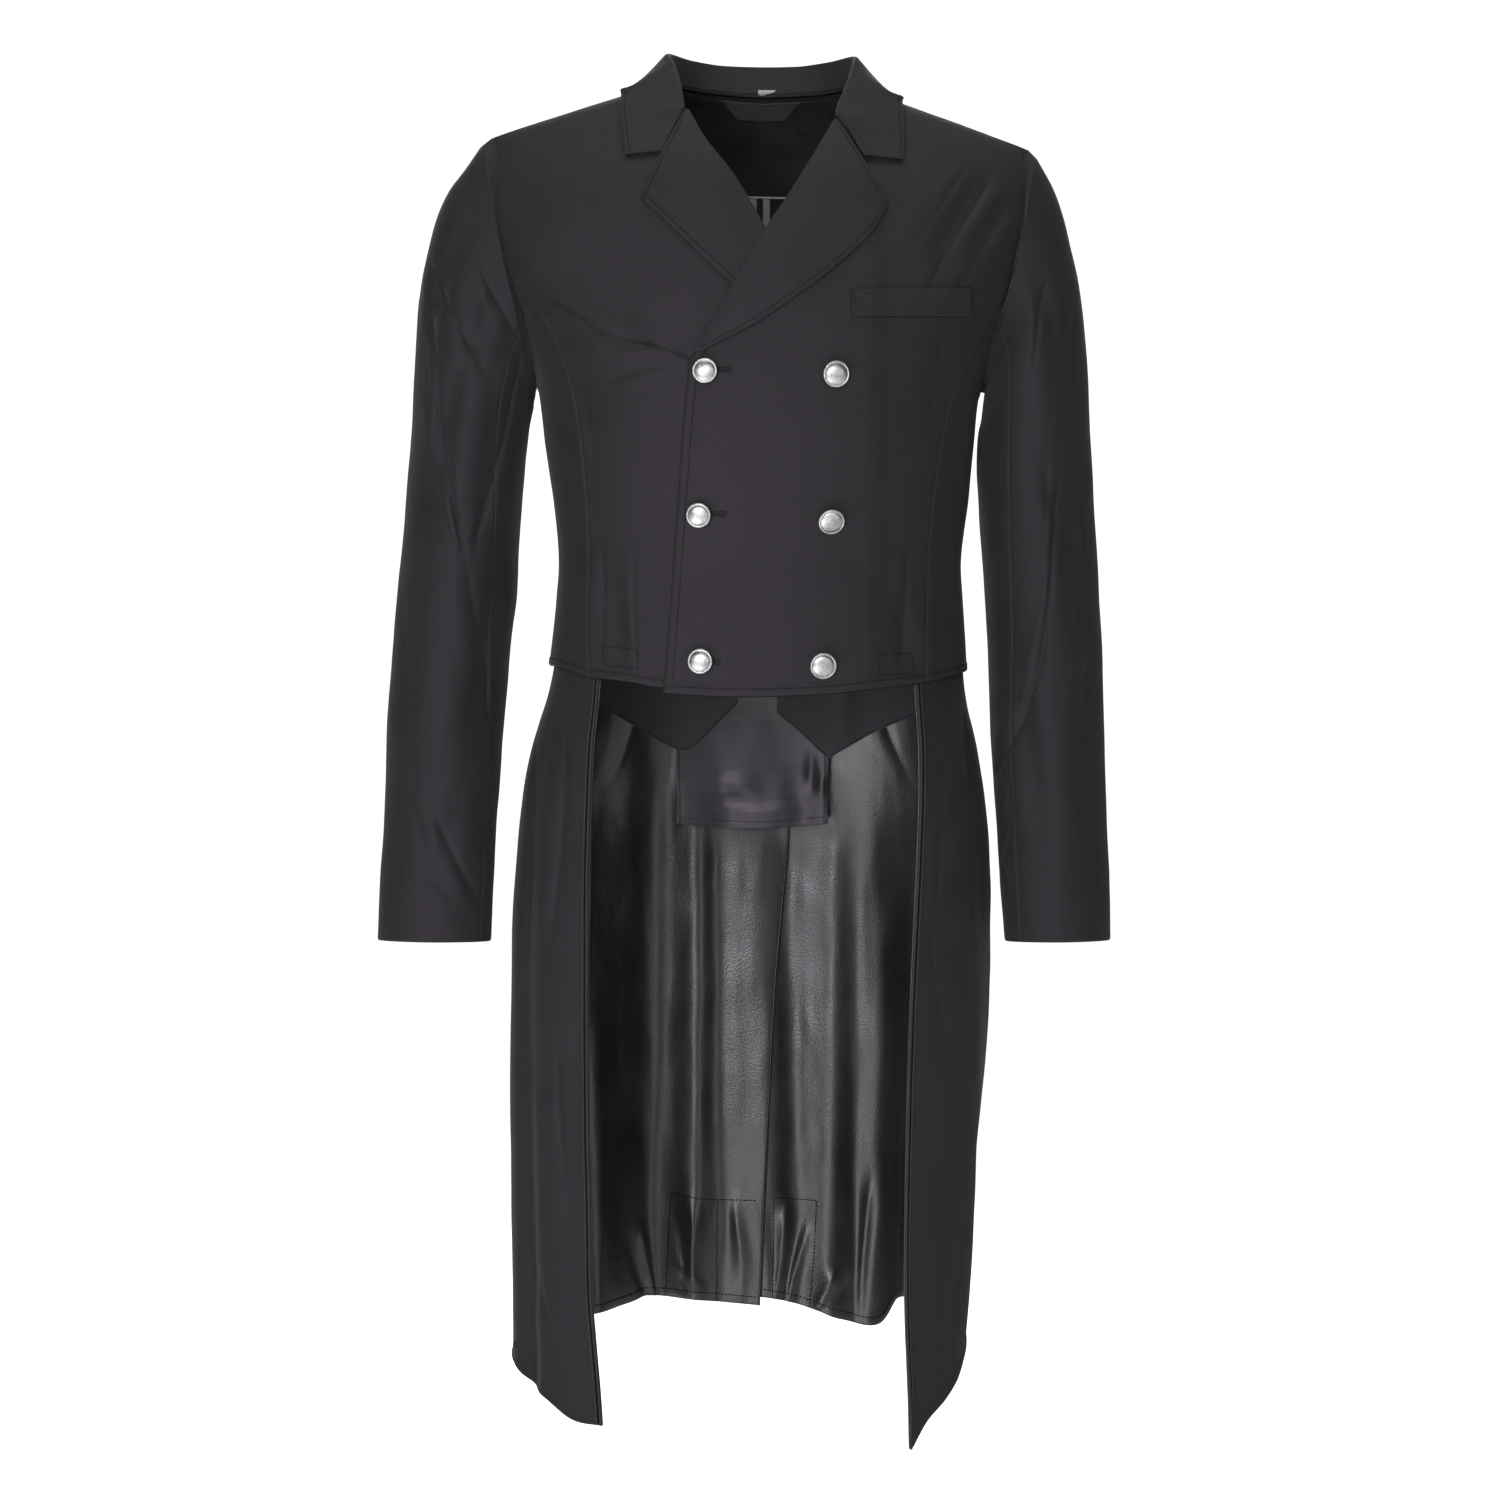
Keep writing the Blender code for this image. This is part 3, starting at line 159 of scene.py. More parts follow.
# Collar stations: stand edge (x, z on the form) and its height above the form, fold
# (x, y, z), outer edge (x, z on the form), how far the collar is folded
COLLAR = [
    ("front", (-80.2, -14.8), 2.7, (-80.2, -85.0, -15.0), "front", (-110.9, -19.0), 0.0),
    ("front", (-71.0, 4.6), 2.5, (-71.6, -75.0, 5.0), "front", (-113.5, 4), 0.35),
    ("front", (-65.4, 20.0), 1.9, (-65.0, -66.0, 22.4), "front", (-115.2, 18), 0.9),
    ("front", (-64.1, 28.0), -0.6, (-63.2, -56.0, 31.0), "front", (-115.8, 25), 1.0),
    ("front", (-72.4, 41.0), -0.9, (-68.2, -33.0, 55.0), "front", (-115.2, 36), 1.0),
    ("front", (-79.0, 54.4), -0.9, (-73.4, -10.0, 72.0), "front", (-115.0, 40.6), 1.0),
    ("back", (-75.0, 55.0), -0.9, (-76.8, 16.0, 83.0), "back", (-111, 38), 1.0),
    ("back", (-54.0, 54.8), -0.9, (-58.0, 51.0, 83.0), "back", (-84, 36), 1.0),
    ("back", (-28.0, 54.8), -0.9, (-31.0, 70.0, 81.6), "back", (-45, 32.5), 1.0),
    ("back", (0.1, 54.8), -0.9, (0.0, 76.0, 81.0), "back", (0.1, 31), 1.0),
    ("back", (28.0, 54.8), -0.9, (32.0, 70.0, 81.0), "back", (45, 32.5), 1.0),
    ("back", (54.0, 54.8), -0.9, (60.0, 51.0, 82.0), "back", (86, 36), 1.0),
    ("back", (75.0, 55.0), -0.9, (79.6, 16.0, 80.6), "back", (113, 38), 1.0),
    ("front", (79.0, 54.4), -0.9, (77.8, -10.0, 67.0), "front", (117.0, 39.6), 1.0),
    ("front", (73.6, 40.0), -0.9, (72.4, -33.0, 49.5), "front", (118.2, 34), 1.0),
    ("front", (65.2, 23.2), -0.6, (64.0, -61.0, 25.0), "front", (118.6, 23), 1.0),
    ("front", (68.0, 14.6), 1.9, (67.0, -69.5, 16.6), "front", (118.4, 13), 0.9),
    ("front", (75.2, 0.8), 2.5, (75.2, -77.0, 2.0), "front", (119, 1.5), 0.35),
    ("front", (85.0, -16.0), 2.7, (85.0, -86.5, -16.4), "front", (117.2, -17.4), 0.0),
]
COLLAR_BEND = 2.0          # radius of the collar fold
COLLAR_GAP = 2.7 * MM      # height of the collar's middle over the form
NECK_MIDDLE = (0, 0, 0.05)
UNDER_COLLAR = (0, 0.01, -0.04)   # place from which the fall's shown face looks away
COLLAR_STATIONS = ([0, 0.06, 0.2] + [k * 0.4 for k in range(1, 6)]
                   + [2 + k * 0.25 for k in range(1, 13)]
                   + [5 + k * 0.25 for k in range(1, 19)] + [9.7, 9.85, 9.95, 10])
# Lines of a lapel: turns round its roll in degrees, then shares of its flat part
LAPEL_TURNS = [15 * k for k in range(13)]
LAPEL_FLAT = (0.06, 0.12, 0.19, 0.26, 0.33, 0.4, 0.47, 0.54, 0.61, 0.68, 0.75, 0.81, 0.87,
              0.92, 0.955, 0.975, 0.99, 1.0)

# Sleeves: outer point (x, z), under point (x, z), middle depth, half depth
SLEEVES = {
    "right": [
        (-235, 2, -188.5, -203, 0, 57), (-249, -18, -189, -207, 1, 60),
        (-262, -36, -190, -211, 2, 63), (-273, -61, -190.5, -216, 3, 65.5),
        (-281, -92, -192, -223, 4, 67.5), (-286.5, -128, -194, -232, 5.5, 68.5),
        (-289.5, -168, -195.7, -244, 7, 69), (-292, -210, -198, -264, 9, 69),
        (-295, -255, -200.5, -296, 11, 68.5), (-298.5, -300, -203.5, -334, 13, 67.5),
        (-303, -345, -205, -375, 13, 66), (-307, -390, -210, -413, 11, 63),
        (-310.5, -435, -213, -451, 7, 59), (-313, -480, -216, -491, 1, 55),
        (-314, -525, -218.5, -532, -6, 51), (-315, -570, -221, -575, -13, 47),
        (-317.5, -615, -222.5, -617, -20, 43.5), (-318.8, -662, -224, -663, -27, 40.2),
    ],
    "left": [
        (233, -8, 189, -204, 0, 57), (246, -32, 188.5, -208, 1, 60),
        (255, -58, 188, -213, 2, 63), (261, -84, 187.5, -219, 3, 65.5),
        (267.5, -110, 186.5, -227, 4, 67.5), (272, -140, 184.5, -236, 5.5, 68.5),
        (275, -176, 183.4, -248, 7, 69), (277, -216, 182.8, -268, 9, 69),
        (279.5, -259, 184.4, -298, 11, 68.5), (282, -302, 187, -335, 13, 67.5),
        (284.5, -346, 189.5, -376, 13, 66), (286.5, -391, 192, -414, 11, 63),
        (288.5, -436, 193, -452, 7, 59), (289, -480, 193.5, -491, 1, 55),
        (289.5, -525, 195.5, -532, -6, 51), (290.5, -570, 198.5, -575, -13, 47),
        (291.5, -615, 201, -617, -20, 43.5), (292.4, -662, 203.7, -663, -27, 40.2),
    ],
}
SLEEVE_FRONT_SEAM = {"right": (124.0, 147.0), "left": (120.0, 137.0)}   # armhole, cuff
SLEEVE_BACK_SEAM = 240.0
# Largest sleeve folds: height, turn round the sleeve, length, width, depth inwards
SLEEVE_FOLDS = {
    "right": [(-112, 52, 60, 11, 5.0), (-245, 70, 62, 13, 5.5), (-265, 118, 60, 12, 5.0),
              (-150, 96, 42, 10, 4.0), (-420, 132, 80, 14, 4.5), (-585, 100, 38, 12, 3.0),
              (-330, 215, 50, 14, 5.5), (-300, 262, 46, 14, 4.5), (-150, 300, 60, 12, 4.0)],
    "left": [(-350, 58, 95, 12, 5.5), (-300, 80, 45, 10, 4.0), (-520, 112, 70, 14, 4.0),
             (-150, 70, 48, 12, 3.5), (-330, 222, 50, 14, 5.5), (-295, 268, 46, 14, 4.5),
             (-165, 296, 60, 12, 4.0)],
}

# Largest body folds: middle x, z, run x, z (half length), half width, depth inwards
BODY_FOLDS = {
    "right": [(-140, -135, 46, -24, 13, 4.5), (-118, -395, 4, -45, 8, 2.5)],
    "left": [(166, -62, -24, -42, 10, 4.5), (188, -70, -18, -28, 9, 3.5),
             (118, -405, 3, -36, 8, 2.5)],
    "back": [(0, -300, 60, 6, 10, 3.0), (118, -60, -34, -50, 13, 4.0),
             (-118, -60, 34, -50, 13, 4.0), (60, -250, 60, 12, 9, 3.0),
             (-60, -335, -60, 10, 9, 3.0)],
}

# Tails: front edge (x, z), hem (x, z, front or back), centre-back edge (x, z)
TAIL_EDGE = {
    "right": [(-134.2, -437), (-139.3, -545), (-141, -627), (-141, -790), (-139.3, -872),
              (-137.7, -954), (-131.1, -1035), (-129.6, -1057)],
    "left": [(130, -440), (130.8, -545), (127.4, -627), (123.2, -708), (120.8, -790),
             (119.2, -872), (119, -954), (122.6, -1037), (123.6, -1078)],
}
TAIL_HEM = {
    "right": [(-129.6, -1057, 0), (-153.6, -1054, 0), (-175.7, -1039.6, 0),
              (-194.5, -1029, 0), (-204, -1017, 0), (-207.6, -1007, 0),
              (-196, -999, 1), (-172, -994, 1), (-145, -989.8, 1), (-110.8, -984, 1),
              (-93.6, -979.5, 1), (-54.6, -983, 1), (0.3, -987.8, 1)],
    "left": [(123.6, -1078, 0), (137.1, -1055, 0), (150.9, -1040.5, 0),
             (161.5, -1026, 0), (168, -1010, 0), (172.4, -996, 0), (166, -984, 1),
             (148, -977, 1), (124.7, -978, 1), (100, -1004, 1), (70.8, -999.8, 1),
             (48.2, -991.7, 1), (9.9, -982, 1), (-45, -978, 1)],
}
TAIL_VENT = {"right": [(30, -417), (26.5, -569), (13.4, -722), (0.3, -987.8)],
             "left": [(-24, -417), (-28, -569), (-36, -760), (-45, -978)]}
# Largest tail folds: turn round the form, half width in degrees, depth at the hem
# (+ draws in), height where it starts
TAIL_FOLDS = {
    "right": [(-67, 6, 9, -440), (-104, 9, 14, -470), (-122, 8, -10, -480),
              (-139, 7, 12, -560), (-154, 7, -9, -520)],
    "left": [(72, 6, 7, -440), (105, 9, 13, -470), (121, 8, -11, -520),
             (138, 8, 20, -560), (154, 7, -9, -520)],
}

# Inside, at the back: pointed waist facings and the flap between them
FACING_FOOT = {
    "right": [(-146, -461), (-138.9, -465.4), (-113.7, -479.8), (-76, -499.7),
              (-61, -498.6), (-40, -480), (-20.1, -460.7)],
    "left": [(15.5, -468.3), (38, -487), (60.7, -507.1), (66, -505.8), (101.8, -487.1),
             (136.2, -473.4), (145, -468.4)],
}
FACING_TOP = -436
FACING_DEPTH = (8.2, 14.2)            # beside the flap, over the flap
FLAP = (-75.5, 62, -440, -566)        # left, right, top, foot
FLAP_BOW = 5                          # how far the middle of its foot hangs lower
LABEL = (1, 35.3, 20.5, 51.2, 36.6)   # middle, half width at the top, at the foot, heights
WELT = [(73.7, -128.6), (173, -121.8), (74.5, -150.9), (174.2, -145.1)]
BUTTONS = [(-44.8, -196.6), (-49.8, -312.8), (-48.6, -431.8),
           (61.2, -198.8), (57.3, -317), (50.8, -435)]

# Creases in the cloth, from one end to the other: x, z, x, z, half width, depth
CREASES = {
    "body_front": [
        (-196, -120, -134, -161, 9, 2.2), (-134, -160, -90, -175, 7, 2.2),
        (-94, -173, -56, -185, 5, 2.0), (-190, -96, -150, -128, 11, 0.9),
        (-120, -200, -84, -192, 9, 0.7), (-131, -345, -128, -428, 7, 1.0),
        (-104, -352, -101, -430, 6, 0.8), (184, -42, 141, -122, 8, 0.8),
        (200, -67, 162, -124, 7, 0.8), (168, -30, 120, -96, 10, 0.5),
        (120, -350, 116, -428, 7, 0.9),
        (150, -170, 132, -262, 9, 0.6), (-152, -196, -136, -262, 8, 0.6),
    ],
    "body_back": [
        (196, -60, 128, -118, 11, 1.9), (188, -96, 140, -150, 8, 1.4),
        (-196, -60, -128, -118, 11, 1.9), (-186, -100, -138, -156, 8, 1.4),
        (150, -18, 96, -62, 12, 0.9), (-150, -14, -92, -56, 12, 0.9),
        (110, -300, 20, -318, 8, 0.8), (-118, -330, -16, -344, 7, 1.3),
        (84, -352, -64, -366, 7, 0.6), (-104, -286, -30, -276, 9, 0.8),
        (40, 20, -44, 24, 10, 0.8), (86, -386, 30, -398, 7, 0.8),
        (-92, -392, -28, -384, 7, 0.8),
    ],
    "sleeve_front": [
        (-273, -105, -234, -182, 7, 2.2), (-272, -141, -267, -223, 5.5, 1.8),
        (-267, -223, -249, -325, 5.5, 2.6), (-229, -110, -207, -152, 6, 1.7),
        (-201, -193, -231, -320, 6, 2.6), (-232, -318, -248, -342, 6, 1.6),
        (-240, -358, -226, -470, 8, 1.2), (-289, -553, -272, -592, 6, 1.5),
        (-268, -561, -236, -622, 5.5, 1.9), (-280, -606, -258, -625, 5, 1.4),
        (-300, -380, -286, -520, 11, 0.8), (249, -279, 239, -342, 6.5, 2.2),
        (244, -331, 233, -423, 6, 2.0), (233, -423, 221, -469, 5.5, 1.6),
        (221, -469, 196, -527, 6, 1.7), (207, -534, 200, -596, 5, 1.5),
        (200, -596, 207, -620, 4.5, 1.3), (262, -150, 250, -236, 9, 1.0),
        (236, -120, 224, -186, 7, 1.2), (272, -420, 266, -560, 11, 0.8),
        (284, -250, 276, -330, 8, 0.9),
    ],
    "sleeve_back": [
        (-292, -300, -232, -332, 8, 2.8), (-286, -346, -226, -356, 7, 2.3),
        (-230, -286, -284, -270, 8, 1.8), (-240, -180, -262, -108, 9, 1.6),
        (-222, -216, -240, -140, 7, 1.3), (-282, -470, -246, -560, 9, 1.2),
        (276, -304, 218, -336, 8, 2.8), (270, -350, 214, -362, 7, 2.3),
        (218, -284, 268, -268, 8, 1.8), (226, -176, 248, -104, 9, 1.6),
        (206, -214, 226, -138, 7, 1.3), (268, -480, 232, -566, 9, 1.2),
    ],
    "tail_front": [
        (-158, -474, -170, -640, 8, 1.6), (-188, -500, -192, -700, 9, 1.0),
        (-166, -760, -158, -900, 10, 0.8), (-184, -930, -170, -1010, 8, 1.0),
        (170, -470, 176, -640, 8, 1.3), (150, -500, 146, -620, 8, 0.8),
        (142, -660, 156, -780, 10, 0.7), (166, -900, 158, -1010, 9, 0.9),
    ],
    "tail_back": [
        (96, -440, 128, -520, 12, 1.2), (-96, -440, -128, -520, 12, 1.2),
        (40, -450, 62, -560, 12, 1.0), (-44, -450, -66, -560, 12, 1.0),
        (150, -600, 156, -820, 12, 1.2), (-150, -600, -158, -820, 12, 1.2),
    ],
}
# Puckers in the tail linings beside the sewn-in weights and the flap: same columns
LINING_CREASES = [
    (-104, -925, -92, -985, 6, 2.2), (-62, -900, -58, -965, 9, 2.0),
    (-70, -955, -52, -975, 6, 1.4),
    (-20, -905, -16, -975, 10, 1.0), (24, -905, 16, -972, 7, 2.0),
    (40, -925, 26, -985, 5, 1.8), (52, -990, 66, -962, 6, 1.6),
    (96, -880, 90, -990, 9, 1.6),
]

# Sewing on the fronts: corners of the two stitched boxes above the hem (x, z)
STITCHED_BOXES = {
    "right": [(-129.9, -418.5), (-100.7, -422.3), (-100.0, -437.5), (-128.0, -434.3)],
    "left": [(96.1, -425.6), (124.4, -424.9), (126.0, -440.9), (97.7, -442.8)],
}
# Keyhole buttonholes: x at the outer end, x at the eyelet, height
BUTTONHOLES = [(-47, -24.4, -195.4), (-51, -28.6, -312.2), (-51, -33.8, -432.4)]
# How far each button's face hangs down, in degrees
BUTTON_TILT = [2, 4, 4, 9, 20, 15]
# Sewing that holds the weights on the tail linings: lines of (x, z) on the back
WEIGHT_LINES = {
    "right": [[(-77.4, -889.3), (-79.8, -935), (-82.1, -981)],
              [(-36.7, -895.7), (-37.2, -940), (-37.5, -984)],
              [(-77.4, -889.3), (-57, -893.5), (-36.7, -895.7), (-2.5, -896.5)]],
    "left": [[(12.4, -893.8), (12, -940), (11, -981)],
             [(49.5, -896.7), (47.4, -943), (43.3, -991)],
             [(12.4, -893.8), (30, -895.6), (49.5, -896.7)]],
}
# Inside the back: height of the piped yoke seam, then each strip's middle and width
YOKE = -25.5
LINING_STRIPS = [(-5.2, 5.4), (5.8, 6.0)]
STRIP_FOOT = -330
STRIP_ROWS = 60
STRIP_SECTION = [(0, 0.0), (0.08, 0.3), (0.5, 0.45), (0.92, 0.3), (1, 0.0)]   # share, height
# Topstitching: distance from the edge
HEM_STITCH = 6 * MM
FRONT_STITCH = 7 * MM
BACK_STITCH = 5 * MM
LAPEL_STITCH = 4.6 * MM
CORD_STEP = 4 * MM         # step between the rings of tapes and cords
EYELET = 1.9               # radius of a buttonhole's eyelet
# Broad upright folds in the tails behind: keys of x, z, half width, inward depth
LINING_FOLDS = [
    [(-122, -470, 15, 1.8), (-116, -700, 14, 2.4), (-113, -990, 14, 2.6)],
    [(-88, -470, 14, -2.4), (-85, -700, 13, -2.8), (-91, -990, 15, -3.0)],
    [(-57, -470, 12, 2.2), (-54, -700, 13, 3.0), (-57, -900, 11, 2.8), (-60, -990, 10, 2.0)],
    [(-36, -560, 11, -2.0), (-35, -760, 12, -3.0), (-32, -920, 12, -2.8), (-36, -990, 13, -2.0)],
    [(-4, -560, 13, 1.2), (4, -700, 15, 2.0), (10, -860, 17, 3.0), (14, -990, 17, 2.6)],
    [(24, -560, 12, -1.8), (28, -760, 13, -2.8), (31, -990, 13, -2.6)],
    [(66, -560, 12, 1.6), (64, -800, 12, 2.2), (60, -990, 12, 2.2)],
    [(86, -600, 10, -1.0), (84, -800, 9, -1.4), (80, -990, 9, -1.4)],
    [(114, -620, 13, -1.6), (113, -800, 13, -3.0), (110, -990, 13, -3.2)],
]
# Bulges of the satin flap: x, z, half width, half height, depth
FLAP_BULGES = [
    (-18, -530, 17, 9, 2.2), (-60, -556, 15, 12, 2.0), (-2, -558, 20, 7, 1.8),
    (28, -556, 14, 10, 1.6), (46, -520, 5, 14, -2.4), (56, -532, 4, 9, 2.0),
    (-30, -545, 26, 5, -1.4),
]


def clamp(value, low=0.0, high=1.0):
    return min(max(value, low), high)


def smooth(value):
    value = clamp(value)
    return value * value * (3 - 2 * value)


def four_rows(rows, i):
    """Rows round the step from row i to the next one, held at the ends of the table."""
    return rows[max(i - 1, 0)], rows[i], rows[i + 1], rows[min(i + 2, len(rows) - 1)]


def hermite(first, second, slope, next_slope, t):
    """Place between two values whose slopes are known."""
    return ((2 * t**3 - 3 * t**2 + 1) * first + (t**3 - 2 * t**2 + t) * slope
            + (3 * t**2 - 2 * t**3) * second + (t**3 - t**2) * next_slope)


def curve(before, first, second, after, t):
    """Place between the middle two of four values, on a smooth line."""
    return 0.5 * (first * 2 + (second - before) * t
                  + (before * 2 - first * 5 + second * 4 - after) * t**2
                  + (first * 3 - before - second * 3 + after) * t**3)


def table_at(rows, key):
    """Smooth reading of a table whose first column falls."""
    if key >= rows[0][0]:
        return rows[0][1:]
    if key <= rows[-1][0]:
        return rows[-1][1:]
    i = 0
    while rows[i + 1][0] > key:
        i += 1
    before, first, second, after = four_rows(rows, i)
    span = second[0] - first[0]
    t = (key - first[0]) / span
    out = []
    for k in range(1, len(first)):
        slope = (second[k] - before[k]) / (second[0] - before[0]) * span
        next_slope = (after[k] - first[k]) / (after[0] - first[0]) * span
        out.append(hermite(first[k], second[k], slope, next_slope, t))
    return out


def ridge(x):
    """Height of the shoulder seam at a distance from the middle, before the lean."""
    return (SHOULDER_TIP[1] + (SHOULDER_TIP[0] - abs(x) / MM) * SHOULDER_SLOPE) * MM


def fold_depth(x, z, folds):
    """Summed inward depth of straight soft folds at a place on the form."""
    depth = 0.0
    for mid_x, mid_z, run_x, run_z, width, amount in folds:
        length = math.hypot(run_x, run_z)
        dx, dz = x / MM - mid_x, z / MM - mid_z
        along = (dx * run_x + dz * run_z) / length**2
        across = (dx * run_z - dz * run_x) / length / width
        depth += amount * MM * math.exp(-along**4 * 1.5 - across**2)
    return depth


def lean_at(x, z):
    """How far the form drops at a distance across, as one shoulder stands higher."""
    return LEAN * x * clamp((z + LEAN_FOOT) / LEAN_RUN)


def plain_body(theta, z):
    """Coat form at a turn from the middle front (+ to the wearer's left) and a height."""
    right, left, front, back, power = table_at(FORM, z / MM)
    side, fore = math.sin(theta), math.cos(theta)
    half = (left if side > 0 else right) * MM
    depth = (front if fore > 0 else back) * MM
    x = half * math.copysign(abs(side) ** (2 / power), side)
    crown = (CROWN_FRONT if fore > 0 else CROWN_BACK) * MM
    drop = clamp((ridge(x) - z) / crown)
    y = -depth * math.copysign(abs(fore) ** (2 / power), fore) * math.sqrt(1 - (1 - drop)**2)
    return Vector((x, y, z - lean_at(x, z)))


def body_normal(theta, z):
    x = plain_body(theta, z).x
    on_ridge = ridge(x) - z < 0.3 * MM
    z = min(z, ridge(x) - 0.6 * MM)
    across = plain_body(theta + 1e-3, z) - plain_body(theta - 1e-3, z)
    down = plain_body(theta, z - 2e-4) - plain_body(theta, z)
    normal = down.cross(across)
    if on_ridge:
        normal.y = 0
    return normal.normalized()


def turn_at(x, z, back=False):
    """Turn round the form of a place given by its distance across and height, in mm."""
    right, left, _, _, power = table_at(FORM, z)
    ratio = clamp(abs(x) / (left if x > 0 else right))
    turn = math.asin(ratio ** (power / 2))
    if back:
        turn = math.pi - turn
    return math.copysign(turn, x)


def front_lift(x, z):
    """The wearer's left front stands clear of the other front and its lapel."""
    over = smooth((LAP_END[0] - x) / LAP_END[1]) * smooth((LAP_TOP[0] - z) / LAP_TOP[1])
    swell_x, swell_z, size, height = LAPEL_BELOW
    bump = math.exp(-((x - swell_x) / size)**2 - ((z - swell_z) / size)**2)
    return LAP * over + height * bump


def body_point(theta, z, out=0.0, part="back"):
    """Point of the body cloth; out moves it along the normal."""
    point = plain_body(theta, z)
    if part == "left":
        out += front_lift(point.x, z)
    fade = smooth((ridge(point.x) - z) / (18 * MM))
    if math.cos(theta) > 0:
        folds = BODY_FOLDS["left" if point.x > 0 else "right"]
        fade *= smooth((abs(point.x) - 85 * MM) / (25 * MM))
    else:
        folds = BODY_FOLDS["back"]
    out -= fold_depth(point.x, z, folds) * fade
    return point + body_normal(theta, z) * out


def armhole(side, turn):
    """Turn round the form and height of the armhole; turn 0 is the shoulder tip."""
    turn = math.radians(turn)
    reach = ARMHOLE_REACH[side if math.sin(turn) > 0 else "back"]
    lean_in = math.radians(reach) * math.sin(turn) * (1 + 0.2 * math.cos(turn))
    theta = math.pi / 2 - lean_in
    z = (ARMHOLE_MID + ARMHOLE_HALF * math.cos(turn)) * MM
    return (theta if side == "left" else -theta, z)


def spline(keys, fraction):
    """Point of a smooth line through keys, by length fraction."""
    vectors = [Vector(key) for key in keys]
    lengths_to = [0.0]
    for a, b in zip(vectors, vectors[1:]):
        lengths_to.append(lengths_to[-1] + (b - a).length)
    want = clamp(fraction) * lengths_to[-1]
    i = 0
    while i < len(vectors) - 2 and lengths_to[i + 1] < want:
        i += 1
    t = (want - lengths_to[i]) / (lengths_to[i + 1] - lengths_to[i])
    first, second = vectors[i], vectors[i + 1]
    before = vectors[i - 1] if i else first * 2 - second
    after = vectors[i + 2] if i + 2 < len(vectors) else second * 2 - first
    return curve(before, first, second, after, t)


def run(keys, steps, back=False):
    """Places (turn, height) along a line of (x, z) keys on the front or the back."""
    places = []
    for i in range(steps + 1):
        x, z = spline(keys, i / steps)
        places.append((turn_at(x, z, back), z * MM))
    return places


def armhole_run(side, start, end, steps):
    return [armhole(side, start + (end - start) * i / steps) for i in range(steps + 1)]


def join(*runs):
    """Joins runs end to end, each next one without its first place."""
    places = list(runs[0])
    for more in runs[1:]:
        places += more[1:]
    return places


def shoulder_run(side, steps):
    """Shoulder seam from the neck point to the tip."""
    neck, tip = NECKLINE[side][-1][0], SIGN[side] * SHOULDER_END
    places = []
    for i in range(steps):
        x = neck + (tip - neck) * i / steps
        z = ridge(x * MM) / MM
        places.append((turn_at(x, z), z * MM))
    return places + [armhole(side, 0.0)]


def coons(foot, top, first, second):
    """Fills four joined lines of places with a grid of places, rows from the foot up."""
    rows, cols = len(first) - 1, len(foot) - 1
    grid = []
    for i in range(rows + 1):
        v = i / rows
        row = []
        for j in range(cols + 1):
            u = j / cols
            place = []
            for k in (0, 1):
                ruled = (1 - v) * foot[j][k] + v * top[j][k]
                ruled += (1 - u) * first[i][k] + u * second[i][k]
                ruled -= (1 - v) * ((1 - u) * foot[0][k] + u * foot[-1][k])
                ruled -= v * ((1 - u) * top[0][k] + u * top[-1][k])
                place.append(ruled)
            row.append(tuple(place))
        grid.append(row)
    return grid


def seam_to_armhole(side, keys, turn, steps, back=False):
    """Seam through keys of (x, z), from the hem up to a turn round the armhole."""
    place = armhole(side, turn)
    end = (plain_body(*place).x / MM, place[1] / MM)
    return run(keys + [end], steps, back)[:-1] + [place]


def princess_run(side, steps):
    """Princess seam from the hem to the armhole."""
    return seam_to_armhole(side, PRINCESS[side], PRINCESS_TURN[side], steps)


def mirrored(side, keys):
    """Keys of (x, z) moved to the given side of the coat."""
    return [(SIGN[side] * x, z) for x, z in keys]


def side_back_run(side, steps):
    """Seam between side body and back, from the hem to the armhole."""
    return seam_to_armhole(side, mirrored(side, SIDE_BACK), BACK_TURN, steps, back=True)


def form_place(face, x, z, out):
    back = face == "back"
    turn = turn_at(x, z, back)
    return plain_body(turn, z * MM) + body_normal(turn, z * MM) * out


def off_body(point, gap):
    """Moves a point out along the form's normal until it clears the form by a gap."""
    z = min(point.z + lean_at(point.x, point.z), ridge(point.x))
    across = point.x / MM if abs(point.x) > 1e-4 else 0.1
    turn = turn_at(across, z / MM, point.y > 0)
    normal = body_normal(turn, z)
    short = gap - (point - plain_body(turn, z)).dot(normal)
    return point + normal * short if short > 0 else point


def smooth_rows(rows, share):
    """Row of a table at a share of its count, smooth between rows."""
    place = share * (len(rows) - 1)
    i = min(int(place), len(rows) - 2)
    return [curve(*values, place - i) for values in zip(*four_rows(rows, i))]


def sleeve_point(side, ring, turn):
    """Point of a sleeve; ring 0 is the armhole, turn 0 the outer line, 90 the front."""
    rows = SLEEVES[side]
    angle = math.radians(turn)
    theta, z = armhole(side, turn)
    start = plain_body(theta, z) + body_normal(theta, z) * 0.5 * MM
    if ring <= 0:
        return start
    share = (ring - 1) / (len(rows) - 1)
    if ring >= 1:
        out_x, out_z, in_x, in_z, depth, half = smooth_rows(rows, share)
    else:
        out_x, out_z, in_x, in_z, depth, half = rows[0]
    top = Vector((out_x, depth, out_z)) * MM
    under = Vector((in_x, depth, in_z)) * MM
    centre = (top + under) / 2
    point = centre + (top - under) / 2 * math.cos(angle)
    point.y -= half * MM * math.sin(angle)
    lift = math.sin(angle) ** 2 * (1 - abs(math.cos(angle))) * 3 * MM
    point.y += lift * (1 if math.sin(angle) < 0 else -1)
    if ring < 1:
        return start.lerp(point, ring)
    blend = clamp((4 - ring) / 4) * 0.5
    point.y = point.y * (1 - blend) + start.y * 1.12 * blend
    return point


